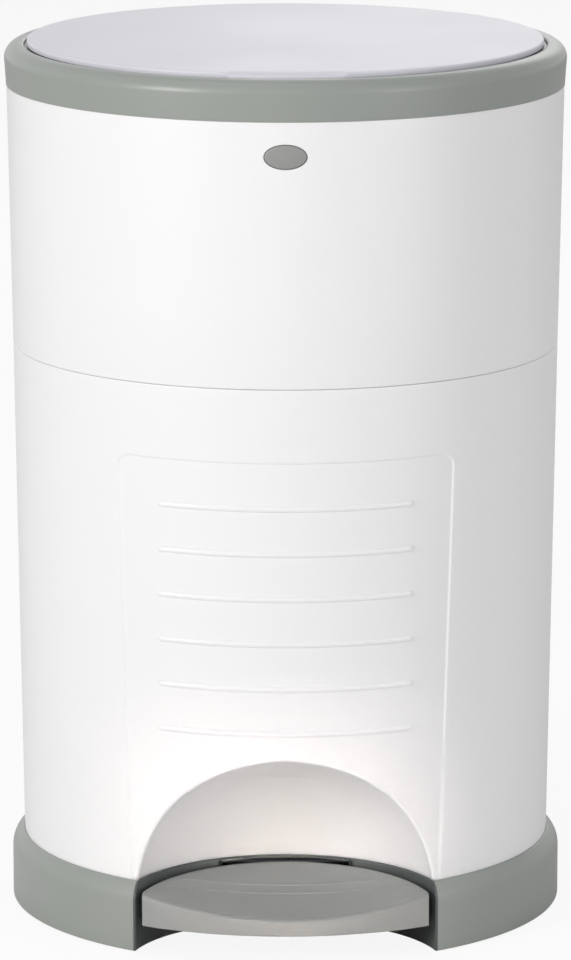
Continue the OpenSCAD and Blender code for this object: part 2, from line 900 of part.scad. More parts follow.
// Points of an arc from angle a1 to a2
function arc(x, y, r, a1, a2, n) = [
    for (i = [0 : n]) let (a = a1 + (a2 - a1) * i / n) [x + r * cos(a), y + r * sin(a)]
];

// Section of the top rim, radius across and height up
module rim_section() {
    round_r = 9;
    edge_r = 1.7;
    groove_d = 6;
    tongue_d = 8;
    step_z = rim_z + rim_step;
    groove_z = rim_top - groove_d;
    tongue_z = rim_z - tongue_d;
    tongue_out = upper_r(tongue_z) - wall - fit;
    tongue_in = tongue_out - wall;
    polygon(concat(
        [
            [tongue_in, tongue_z], [tongue_out, tongue_z], [tongue_out, groove_z],
            [rim_r - wall, groove_z], [rim_r - wall, rim_z], [rim_r, rim_z]
        ],
        arc(rim_r - round_r, rim_top - round_r, round_r, 0, 90, 9),
        arc(rim_in + edge_r, rim_top - edge_r, edge_r, 90, 180, 4),
        [
            [rim_in, ledge_top], [ledge_r, ledge_top],
            [ledge_r, ledge_top - ledge_t], [rim_in, ledge_top - ledge_t],
            [rim_in, step_z], [tongue_in, step_z]
        ]
    ));
}

module top_rim() {
    ear_low = rim_z + rim_step;
    pilot_d = hopper_grip + 4;
    color(grey) difference() {
        union() {
            difference() {
                rotate_extrude() rim_section();
                block([-notch_x, lid_y - notch_deep, notch_z], [notch_x, far, rim_top + cut]);
            }
            for (a = diagonal_angles)
                rotate([0, 0, a]) translate([hopper_bolt_r, 0, flange_top])
                    cylinder(h = ledge_top - flange_top, r = bolt_boss_r);
            for (s = [-1, 1]) {
                x1 = min(s * (notch_x - ear_t), s * notch_x);
                x2 = max(s * (notch_x - ear_t), s * notch_x);
                rod_x(lid_y, lid_z, barrel_r, x1, x2);
                block([x1, lid_y - barrel_r, ear_low], [x2, lid_y + barrel_r, lid_z]);
            }
        }
        bar_x(lid_y, lid_z, lid_pin_r + run, notch_x);
        for (a = diagonal_angles)
            rotate([0, 0, a]) translate([hopper_bolt_r, 0, flange_top - cut])
                cylinder(h = pilot_d, r = pilot_r);
    }
}

module rim_bumpers() {
    bumper_r = 3;
    color(dark) for (a = [-60, -120])
        rotate([0, 0, a]) translate([ledge_r + bumper_r + fit, 0, ledge_top])
            cylinder(h = lid_low - fit - ledge_top, r = bumper_r);
}

module lid() {
    edge = 1;
    lip_w = 2.5;
    lip_d = 1;
    skirt_t = 2.5;
    arm_half = 4;
    arm_t = 4;
    arm_under = 0.2;
    hinge_pad = 10;
    scoop_slope = scoop_d / scoop_back;
    color(white) difference() {
        union() {
            rotate_extrude() {
                polygon([
                    [0, lid_low], [lid_r - lip_w, lid_low], [lid_r - lip_w, lid_low - lip_d],
                    [lid_r, lid_low - lip_d], [lid_r, lid_top - edge],
                    [lid_r - edge, lid_top], [0, lid_top + lid_crown]
                ]);
                translate([skirt_r - skirt_t, lid_low - skirt_d]) square([skirt_t, skirt_d + cut]);
            }
            block([-hinge_half, lid_y - hinge_pad, lid_z], [hinge_half, lid_y, lid_z + barrel_r]);
            bar_x(lid_y, lid_z, barrel_r, hinge_half);
        }
        translate([-scoop_half, 0, 0]) rotate([90, 0, 90]) linear_extrude(2 * scoop_half)
            polygon([
                [scoop_back - lid_r, lid_top + lid_crown], [scoop_back - lid_r, lid_top],
                [-lid_r, lid_top - scoop_d], [-lid_r - cut, lid_top - scoop_d - scoop_slope * cut],
                [-lid_r - cut, lid_top + lid_crown]
            ]);
        block([-3 * arm_half, skirt_r - 3 * skirt_t, 0], [3 * arm_half, skirt_r + fit, lid_low]);
        bar_x(lid_y, lid_z, lid_pin_r + run, hinge_half + cut);
    }
    color(white) difference() {
        union() {
            translate([0, lid_y, lid_z]) rotate([180 + lever_a, 0, 0])
                block([-arm_half, 0, arm_under - arm_t], [arm_half, lever_r, arm_under]);
            bar_x(lever_tip_y, lever_tip_z, lever_tip_r, arm_half);
        }
        bar_x(lid_y, lid_z, lid_pin_r + run, hinge_half + cut);
    }
}

module lid_seal() {
    color(dark) ring(collar_r - seal_lap, collar_r + collar_t + seal_lap, collar_top + fit, lid_low);
}

module lid_pin() {
    end_in = 0.5;
    color(steel) bar_x(lid_y, lid_z, lid_pin_r, notch_x - end_in);
}

module hopper() {
    neck_h = 27;
    color(white) difference() {
        rotate_extrude() {
            translate([throat_r, cup_low]) square([cup_r + wall - throat_r, hopper_floor]);
            translate([throat_r, cup_low]) square([wall, hopper_floor + neck_h]);
            translate([cup_r, cup_low]) square([wall, hopper_d]);
            translate([cup_r, flange_top - wall]) square([flange_r - cup_r, wall]);
            translate([collar_r, flange_top - wall]) square([collar_t, collar_top - flange_top + wall]);
        }
        for (a = diagonal_angles) rotate([0, 0, a]) {
            translate([hopper_bolt_r, 0, flange_top - 2 * wall]) cylinder(h = 3 * wall, r = screw_hole_r);
            translate([trap_bolt_r, 0, cup_low - cut]) cylinder(h = hopper_floor + 2 * cut, r = pilot_r);
        }
        translate([0, rod_y, flange_top - 2 * wall]) cylinder(h = 3 * wall, r = rod_r + run);
    }
}

module hopper_screws() {
    color(steel) for (a = diagonal_angles)
        rotate([0, 0, a]) translate([hopper_bolt_r, 0, flange_top - wall]) screw(wall + hopper_grip);
}

module guide_ring() {
    neck_gap = 0.5;
    inner = throat_r + wall + neck_gap;
    lip_side = 1.5;
    lip_r = collar_r - lip_side;
    lip_t = 2.5;
    spout_d = 41;
    slope_d = 20;
    slope_t = 4;
    color(grey) rotate_extrude() polygon([
        [inner, flange_top - spout_d], [inner + wall, flange_top - spout_d],
        [inner + wall, flange_top - slope_d - slope_t], [cup_r - slope_t / 2, flange_top - slope_t],
        [cup_r - fit, flange_top], [lip_r, flange_top],
        [lip_r, flange_top + lip_t], [cup_r - slope_t, flange_top + lip_t],
        [inner, flange_top - slope_d]
    ]);
}

module cassette_tray() {
    color(white) difference() {
        ring(cassette_in, cassette_out, cup_floor, cup_floor + cassette_h);
        ring(
            cassette_in + cassette_t, cassette_out - cassette_t,
            cup_floor + cassette_t, cup_floor + cassette_h + cut
        );
    }
}

module cassette_film() {
    side_gap = 0.5;
    top_gap = 4;
    color("#dfe6ea") ring(
        cassette_in + cassette_t + side_gap, cassette_out - cassette_t - side_gap,
        cup_floor + cassette_t, cup_floor + cassette_h - top_gap
    );
}

module trap_frame() {
    color(white) difference() {
        union() {
            ring(throat_r, frame_r, frame_low, cup_low);
            for (sx = [-1, 1], sy = [0, 1])
                mirror([0, sy, 0]) {
                    rod_y_bar(sx * flap_pin_x, flap_pin_z, trap_ear_half, ear_y, ear_y + trap_ear_t);
                    block(
                        [sx * flap_pin_x - trap_ear_half, ear_y, flap_pin_z],
                        [sx * flap_pin_x + trap_ear_half, ear_y + trap_ear_t, frame_low + cut]
                    );
                }
        }
        for (s = [-1, 1])
            rod_y_bar(s * flap_pin_x, flap_pin_z, flap_pin_r + run, -far / 2, far / 2);
        for (a = diagonal_angles)
            rotate([0, 0, a]) translate([trap_bolt_r, 0, frame_low - cut])
                cylinder(h = frame_t + 2 * cut, r = screw_hole_r);
    }
}

module trap_screws() {
    color(steel) for (a = diagonal_angles)
        rotate([0, 0, a]) translate([trap_bolt_r, 0, frame_low]) screw(frame_t + hopper_floor);
}

// Trap door on the +X side
module trap_flap() {
    edge_gap = 0.4;
    strap = 12;
    color(grey) difference() {
        union() {
            intersection() {
                translate([0, 0, flap_top - flap_t]) cylinder(h = flap_t, r = throat_r + flap_lap);
                block([edge_gap, -far, 0], [far, far, rim_z]);
            }
            block(
                [throat_r - strap, -flap_half, flap_top - flap_t],
                [flap_pin_x, flap_half, flap_top]
            );
            rod_y_bar(flap_pin_x, flap_pin_z, flap_barrel_r, -flap_half, flap_half);
        }
        rod_y_bar(flap_pin_x, flap_pin_z, flap_pin_r + run, -far / 2, far / 2);
    }
}

module trap_flap_right() {
    trap_flap();
}

module trap_flap_left() {
    mirror([1, 0, 0]) trap_flap();
}

module trap_pins() {
    color(steel) for (s = [-1, 1])
        rod_y_bar(s * flap_pin_x, flap_pin_z, flap_pin_r, -ear_y - trap_ear_t, ear_y + trap_ear_t);
}

module trap_springs() {
    wire = 0.35;
    color(steel) for (s = [-1, 1])
        translate([s * flap_pin_x, flap_half + fit, flap_pin_z]) rotate([-90, 0, 0])
            coil(flap_pin_r + fit + wire, wire, 3, 1.15);
}

module release_button() {
    stem_w = 10;
    stem_h = 8;
    color(grey) {
        oval_prism(button_w, button_h, button_back - cut, button_face);
        oval_prism(button_w + 2 * flange_w, button_h + 2 * flange_w, button_back - flange_t, button_back);
        block(
            [-stem_w / 2, -button_back + flange_t - cut, button_z - stem_h / 2],
            [stem_w / 2, latch_out - fit, button_z + stem_h / 2]
        );
    }
}

module latch_lever() {
    hub_r = 4.6;
    pad = 6;
    barb_h = 10;
    barb_top = strike_low - fit;
    color(white) difference() {
        union() {
            bar_x(latch_y, latch_z, hub_r, latch_w / 2);
            block([-latch_w / 2, latch_out, barb_top - barb_h], [latch_w / 2, latch_in, button_z + pad]);
            translate([-latch_w / 2, 0, 0]) rotate([90, 0, 90]) linear_extrude(latch_w)
                polygon([
                    [latch_out + cut, barb_top], [strike_out + barb, barb_top],
                    [latch_in, barb_top - barb_h], [latch_out + cut, barb_top - barb_h]
                ]);
        }
        bar_x(latch_y, latch_z, latch_pin_r + run, latch_w);
    }
}

module latch_pin() {
    color(steel) bar_x(latch_y, latch_z, latch_pin_r, latch_ear_x + latch_ear);
}

module latch_spring() {
    wire = 0.4;
    color(steel) translate([latch_w / 2 + fit, latch_y, latch_z]) rotate([0, 90, 0])
        coil(latch_pin_r + fit + wire, wire, 6, 1.3);
}

module cutter_body() {
    slot_w = 4;
    color(grey) difference() {
        block(
            [-cutter_half, cutter_y - cutter_deep, frame_low - cutter_h],
            [cutter_half, cutter_y + cutter_deep, frame_low]
        );
        block(
            [-cutter_half - cut, cutter_y - slot_w / 2, frame_low - cutter_h - cut],
            [cutter_half + cut, cutter_y + slot_w / 2, frame_low - cutter_h / 3]
        );
        block(
            [-blade_half - run, cutter_y - blade_t / 2 - run, frame_low - cutter_h / 2],
            [blade_half + run, cutter_y + blade_t / 2 + run, frame_low - blade_roof]
        );
    }
}

module cutter_blade() {
    color(steel) block(
        [-blade_half, cutter_y - blade_t / 2, frame_low - 2 * cutter_h / 3],
        [blade_half, cutter_y + blade_t / 2, frame_low - blade_roof - run]
    );
}

lower_housing();
base_ring();
rubber_feet();
base_screws();
pedal();
pedal_lever();
lever_screws();
pedal_pin();
pedal_spring();
lower_pushrod();
lower_rod_guides();
rod_cover();
strike_bracket();
strike_screws();
body_hinge_pin();
upper_housing();
top_rim();
rim_bumpers();
lid();
lid_seal();
lid_pin();
hopper();
hopper_screws();
guide_ring();
cassette_tray();
cassette_film();
trap_frame();
trap_screws();
trap_flap_left();
trap_flap_right();
trap_pins();
trap_springs();
upper_pushrod();
upper_rod_guide();
release_button();
latch_lever();
latch_pin();
latch_spring();
cutter_body();
cutter_blade();
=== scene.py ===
import math

import bmesh
import bpy
import numpy as np
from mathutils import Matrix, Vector


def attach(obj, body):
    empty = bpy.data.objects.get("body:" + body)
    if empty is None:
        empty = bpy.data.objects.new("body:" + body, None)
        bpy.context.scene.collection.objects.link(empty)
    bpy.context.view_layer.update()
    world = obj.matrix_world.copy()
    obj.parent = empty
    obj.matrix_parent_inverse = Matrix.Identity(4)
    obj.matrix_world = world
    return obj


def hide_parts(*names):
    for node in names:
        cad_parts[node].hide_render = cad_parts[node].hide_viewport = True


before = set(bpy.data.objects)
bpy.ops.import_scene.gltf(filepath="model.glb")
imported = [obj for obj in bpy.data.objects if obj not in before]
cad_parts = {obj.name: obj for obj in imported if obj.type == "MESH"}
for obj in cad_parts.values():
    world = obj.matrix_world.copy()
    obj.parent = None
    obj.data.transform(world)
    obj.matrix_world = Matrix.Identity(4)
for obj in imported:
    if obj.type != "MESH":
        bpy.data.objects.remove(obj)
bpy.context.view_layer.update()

# ---- studio
# The bin stands on a pale floor in front of white paper and is seen from a little above. Its
# main light is a large soft lamp at the upper left. Weaker ones at the right, above, behind and
# in front lift the shade, and two narrow beams reach into the toe recess.
camera = bpy.data.objects.new("Camera", bpy.data.cameras.new("Camera"))
camera.location = (0, -4.0075, 1.1226)
camera.rotation_euler = (math.radians(78.14), 0, 0)
camera.data.lens = 231.39
camera.data.clip_end = 50
link = bpy.context.scene.collection.objects.link
link(camera)
bpy.context.scene.camera = camera
bpy.context.scene.view_settings.view_transform = "Standard"


def linear(colour):
    """Turns an sRGB hex colour into the linear values that shaders read."""
    parts = [int(colour[i:i + 2], 16) / 255 for i in (1, 3, 5)]
    return [c / 12.92 if c <= 0.04045 else ((c + 0.055) / 1.055) ** 2.4 for c in parts] + [1]


def add(tree, kind, values=(), **settings):
    """Adds a node to a shader or geometry tree, with its settings, socket values and links."""
    node = tree.nodes.new(kind)
    for key, value in settings.items():
        setattr(node, key, value)
    for name, value in dict(values).items():
        if isinstance(name, int):
            socket = node.inputs[name]
        else:
            socket = next(s for s in node.inputs if s.name == name and s.enabled)
        if isinstance(value, bpy.types.Node):
            value = next(s for s in value.outputs if s.enabled)
        if isinstance(value, bpy.types.NodeSocket):
            tree.links.new(value, socket)
        else:
            socket.default_value = value
    return node


def emptied(item):
    """The node tree of a material or world, with nothing in it yet."""
    item.use_nodes = True
    item.node_tree.nodes.clear()
    return item.node_tree


world = bpy.data.worlds.new("White_paper")
bpy.context.scene.world = world
tree = emptied(world)
rays = add(tree, "ShaderNodeLightPath").outputs
seen = add(tree, "ShaderNodeMath", {0: rays["Is Camera Ray"], 1: rays["Is Glossy Ray"]}, operation="MAXIMUM")
seen = add(tree, "ShaderNodeMath", {0: seen, 1: rays["Is Transmission Ray"]}, operation="MAXIMUM")
paper = add(tree, "ShaderNodeBackground", {"Color": linear("#ffffff"), "Strength": 1.0})
ambient = add(tree, "ShaderNodeBackground", {"Color": linear("#fffefd"), "Strength": 0.38})
both = add(tree, "ShaderNodeMixShader", {0: seen, 1: ambient, 2: paper})
add(tree, "ShaderNodeOutputWorld", {"Surface": both})

# The floor (metres) is white paper to the camera, but stays plain and matt under the bin itself
floor_r, under_r = 9.0, 0.115
floor_paper = bpy.data.materials.new("White_paper_floor")
tree = emptied(floor_paper)
rays = add(tree, "ShaderNodeLightPath").outputs
white = add(tree, "ShaderNodeEmission", {"Color": linear("#ffffff"), "Strength": 1.0})
matt = add(tree, "ShaderNodeBsdfDiffuse", {"Color": linear("#f4f4f4")})
here = add(tree, "ShaderNodeTexCoord").outputs["Object"]
away = add(tree, "ShaderNodeVectorMath", {0: here}, operation="LENGTH").outputs["Value"]
clear = add(tree, "ShaderNodeMath", {0: away, 1: under_r}, operation="GREATER_THAN")
share = add(tree, "ShaderNodeMath", {0: rays["Is Camera Ray"], 1: 0.9}, operation="MULTIPLY")
share = add(tree, "ShaderNodeMath", {0: share, 1: clear}, operation="MULTIPLY")
both = add(tree, "ShaderNodeMixShader", {0: share, 1: matt, 2: white})
add(tree, "ShaderNodeOutputMaterial", {"Surface": both})
mesh = bpy.data.meshes.new("Floor")
turns = [math.radians(a) for a in range(0, 360, 10)]
mesh.from_pydata([(floor_r * math.cos(a), floor_r * math.sin(a), 0) for a in turns], [],
                 [list(range(len(turns)))])
mesh.materials.append(floor_paper)
floor = bpy.data.objects.new("Floor", mesh)
link(floor)

# Square lamps: place and target, side (m), power (W), colour and spread of the beam (degrees)
for name, place, target, size, power, colour, spread in (
        ("Key_left", (-2.8, -2.6, 1.5), (0, 0, 0.25), 1.2, 68, "#fffefd", 180),
        ("Front_top", (-0.6, -3.2, 2.6), (0, 0, 0.3), 1.2, 6, "#ffffff", 180),
        ("Front_low", (-0.3, -3.6, 0.12), (0, 0, 0.12), 1.0, 5.5, "#fff5ec", 180),
        ("Toe_left", (-0.35, -2.0, 0.14), (0, -0.12, 0.055), 0.16, 0.025, "#fff0e2", 5),
        ("Toe_right", (0.4, -2.0, 0.14), (0, -0.12, 0.055), 0.16, 0.019, "#fff0e2", 5),
        ("Fill_right", (2.7, -2.5, 1.0), (0, 0, 0.3), 1.4, 24, "#fbfbff", 180),
        ("Overhead", (-0.5, -0.3, 3.2), (0, 0, 0.4), 1.6, 8, "#fdfdff", 180),
        ("Back_rim", (0.6, 3.0, 1.9), (0, 0, 0.3), 1.6, 12, "#ffffff", 180)):
    light = bpy.data.lights.new(name, "AREA")
    light.size = size
    light.energy = power
    light.color = linear(colour)[:3]
    light.spread = math.radians(spread)
    lamp = bpy.data.objects.new(name, light)
    lamp.location = place
    lamp.rotation_euler = (Vector(target) - Vector(place)).to_track_quat("-Z", "Y").to_euler()
    link(lamp)


def surface(name, slot, colour, roughness, grain=0.9, depth=0.006, drift=0.012, patch=111.1, cloud=2.0,
            swing=(-0.03, 0.03), drawn=1.0, lift=0.5, shine=(("IOR", 1.49),)):
    """Moulded plastic unless told otherwise: fine grain (mm) in the bump, drawn out along Z for
    wire and plate, and a slow drift of tone and gloss in patches (mm)."""
    material = bpy.data.materials.new(name)
    tree = emptied(material)
    place = add(tree, "ShaderNodeTexCoord").outputs["Object"]
    long = add(tree, "ShaderNodeMapping", {"Vector": place, "Scale": (1.0, 1.0, drawn)})
    fine = add(tree, "ShaderNodeTexNoise", {"Vector": long, "Scale": 1000 / grain, "Detail": 2.0})
    slow = add(tree, "ShaderNodeTexNoise", {"Vector": place, "Scale": 1000 / patch, "Detail": cloud})
    light = linear(colour)
    dark = [c * (1 - 4 * drift) for c in light[:3]] + [1]
    tone = add(tree, "ShaderNodeMix", {"Factor": slow, "A": light, "B": dark}, data_type="RGBA")
    gloss = add(tree, "ShaderNodeMapRange", {
        "Value": slow, "From Min": 0.3, "From Max": 0.7,
        "To Min": roughness + swing[0], "To Max": roughness + swing[1]})
    bump = add(tree, "ShaderNodeBump", {"Height": fine, "Strength": lift, "Distance": depth / 1000})
    shader = add(tree, "ShaderNodeBsdfPrincipled", {
        "Base Color": tone, "Roughness": gloss, "Normal": bump, **dict(shine)})
    add(tree, "ShaderNodeOutputMaterial", {"Surface": shader})
    return material


def placed(name, mesh, body, material, *nodes, sharp=38):
    """Makes an object of a closed mesh: outward faces, smooth but for sharp edges, riding on its body."""
    bm = bmesh.new()
    bm.from_mesh(mesh)
    bmesh.ops.remove_doubles(bm, verts=bm.verts, dist=2e-6)
    bmesh.ops.dissolve_degenerate(bm, edges=bm.edges, dist=1e-6)
    bmesh.ops.recalc_face_normals(bm, faces=bm.faces)
    for face in bm.faces:
        face.smooth = True
        face.material_index = 0
    bm.to_mesh(mesh)
    bm.free()
    mesh.name = name
    mesh.set_sharp_from_angle(angle=math.radians(sharp))
    mesh.materials.clear()
    mesh.materials.append(material)
    item = bpy.data.objects.new(name, mesh)
    link(item)
    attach(item, body)
    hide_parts(*nodes)


def changed(mesh, kind, inputs=(), **settings):
    """The mesh after one modifier with its settings, and a tree's inputs by their identifiers."""
    holder = bpy.data.objects.new("holder", mesh)
    link(holder)
    step = holder.modifiers.new("step", kind)
    for key, value in settings.items():
        setattr(step, key, value)
    for key, value in dict(inputs).items():
        step[key] = value
    result = bpy.data.meshes.new_from_object(holder.evaluated_get(bpy.context.evaluated_depsgraph_get()))
    bpy.data.objects.remove(holder)
    return result


def rounded(node, width, chosen=lambda middle: True, flat=40):
    """A merged copy of a CAD node's mesh, its chosen edges over `flat` degrees rounded (mm)."""
    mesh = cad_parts[node].data.copy()
    bm = bmesh.new()
    bm.from_mesh(mesh)
    bmesh.ops.remove_doubles(bm, verts=bm.verts, dist=1e-6)
    bmesh.ops.dissolve_limit(bm, angle_limit=math.radians(0.4), verts=bm.verts, edges=bm.edges)
    weight = bm.edges.layers.float.new("bevel_weight_edge")
    for edge in bm.edges:
        if len(edge.link_faces) == 2 and edge.calc_face_angle(0) > math.radians(flat):
            middle = (edge.verts[0].co + edge.verts[1].co) * 500
            edge[weight] = 1.0 if chosen(middle) else 0.0
    bm.to_mesh(mesh)
    bm.free()
    return changed(
        mesh, "BEVEL", limit_method="WEIGHT", width=width / 1000, segments=4,
        use_clamp_overlap=False, profile=0.5)


# Millimetres: the bite's centre, which is the dome's too, and what lies just inside its wall,
# inside the inner collar, outside the shoulder and above the base
bite_y, bite_r, collar_r, shoulder_r, base_top = -185.0, 102.5, 90.0, 181.0, 46.6


def base_edge(p):
    """Edges of the base that the hand or eye meets: the bite, the outer foot and the collar seat."""
    out, bite = math.hypot(p.x, p.y), math.hypot(p.x, p.y - bite_y)
    return p.z < base_top and (bite < bite_r and out > collar_r or out > shoulder_r)


# Painted shade: the wall that faces the pedal is painted darker, as hardly any light reaches the gap there.
grey_plastic = surface("Polypropylene_grey_satin", "grey_plastic", "#979c97", 0.36)
base_plastic_painted_shade = surface("Polypropylene_base_grey_painted_shade", "grey_plastic", "#979c97", 0.36)
painted_shade_r = bite_r + 1.1
tree = base_plastic_painted_shade.node_tree
shader = next(node for node in tree.nodes if node.type == "BSDF_PRINCIPLED")
tone = shader.inputs["Base Color"].links[0].from_node
here = add(tree, "ShaderNodeTexCoord").outputs["Object"]
flat = add(tree, "ShaderNodeVectorMath", {0: here, 1: (1, 1, 0)}, operation="MULTIPLY").outputs["Vector"]
away = add(tree, "ShaderNodeVectorMath", {0: flat, 1: (0, bite_y / 1000, 0)}, operation="DISTANCE")
in_painted_shade = add(tree, "ShaderNodeMath", {0: away.outputs["Value"], 1: painted_shade_r / 1000}, operation="LESS_THAN")
# Painted shade: inside that radius round the bite, the base's grey gives way to a dark grey.
painted_shade_mix = add(tree, "ShaderNodeMix", {"Factor": in_painted_shade, "A": tone, "B": linear("#4a4f4e")}, data_type="RGBA")
tree.links.new(next(o for o in painted_shade_mix.outputs if o.type == "RGBA"), shader.inputs["Base Color"])
placed("base_ring_shell", rounded("base_ring", 1.1, base_edge), "bin_body", base_plastic_painted_shade,
       "base_ring")

# ---- lower housing
# The tall shell that stands in the base, slightly wider at the seam than at the foot:
# injection-moulded polypropylene, a clean satin white with hardly any grain. Its front has a
# shallow panel and a domed recess for the toe.
white_plastic = surface("Polypropylene_white_satin", "white_plastic", "#f3f3f4", 0.34, drift=0.004)
# Millimetres: the wall, the floor, the seam and the rounding of its edge, then the skin's cone
wall, deck, seam, seam_soft = 3.0, 43.8, 376.4, 0.8
foot_z, foot_r, cone_slope = 46.5, 174.6, 4.9 / 329.9
# The panel: its foot and top, half width and how much it flares, corner, depth and border
panel_low, panel_top, panel_half, panel_flare, panel_corner = 40.8, 329.0, 100.0, 8.0, 8.5
panel_depth, border, border_in = 0.95, 1.2, 0.3
# The ball that the toe recess is cut from, the crease in it and the rounding of its arch
dome_z, dome_r = 28.0, 105.0
crease_z, crease_tall, crease_deep, arch_soft = 108.5, 1.3, 1.2, 4.0
side = math.radians(45)    # half of the finely drawn front


def lower_r(z):
    return foot_r + cone_slope * (z - foot_z)


def eased(t):
    """Soft step from 0 to 1."""
    t = np.clip(t, 0, 1)
    return t * t * (3 - 2 * t)


def panel_r(x, z):
    """Outer radius of the shell, with the shallow panel and its soft border."""
    half = panel_half + panel_flare * np.clip((z - panel_low) / (panel_top - panel_corner - panel_low), 0, 1)
    qx, qz = np.abs(x) - half + panel_corner, z - panel_top + panel_corner
    away = np.hypot(np.maximum(qx, 0), np.maximum(qz, 0)) + np.minimum(np.maximum(qx, qz), 0) - panel_corner
    edge = np.clip(z - (seam - seam_soft), 0, seam_soft - 0.01)
    return (lower_r(z) - panel_depth * eased(0.5 - (away + border_in) / border)
            - (seam_soft - np.sqrt(seam_soft ** 2 - edge ** 2)))


def on_shell(turn, z):
    """Points of the outer skin at an angle from the front and a height."""
    r = panel_r(lower_r(z) * np.sin(turn), z)
    return np.stack([r * np.sin(turn), -r * np.cos(turn), z + 0 * turn], -1)


def crossing(low, high, holds):
    """Where a test stops holding between low and high, found by halving."""
    for _ in range(40):
        middle = (low + high) / 2
        held = holds(middle)
        low, high = np.where(held, middle, low), np.where(held, high, middle)
    return low


def arch_point(a):
    """Where the dome meets the shell, at an angle in the front view round the dome's centre."""
    def skin(reach):
        x, z = reach * np.cos(a), dome_z + reach * np.sin(a)
        return x, -np.sqrt(panel_r(x, z) ** 2 - x * x), z

    def in_ball(reach):
        x, y, z = skin(reach)
        return x * x + (y - bite_y) ** 2 + (z - dome_z) ** 2 < dome_r ** 2

    return np.stack(skin(crossing(np.full_like(a, 60.0), np.full_like(a, 106.0), in_ball)), -1)


def grid_faces(rows, columns, start=0, closed=False):
    """Quads of a grid of points, optionally closed round its columns."""
    faces = []
    for i in range(rows - 1):
        for j in range(columns if closed else columns - 1):
            k = (j + 1) % columns
            a, b = start + i * columns, start + (i + 1) * columns
            faces.append((a + j, a + k, b + k, b + j))
    return faces


def solid_of(points, faces, fill=False):
    """Closed mesh of points in millimetres: merged, its loops filled if asked, faces outwards."""
    mesh = bpy.data.meshes.new("solid")
    mesh.from_pydata((np.array(points) / 1000).tolist(), [], faces)
    bm = bmesh.new()
    bm.from_mesh(mesh)
    bmesh.ops.remove_doubles(bm, verts=bm.verts, dist=2e-6)
    if fill:
        bmesh.ops.holes_fill(bm, edges=[e for e in bm.edges if e.is_boundary])
    bmesh.ops.recalc_face_normals(bm, faces=bm.faces)
    bm.to_mesh(mesh)
    bm.free()
    return mesh


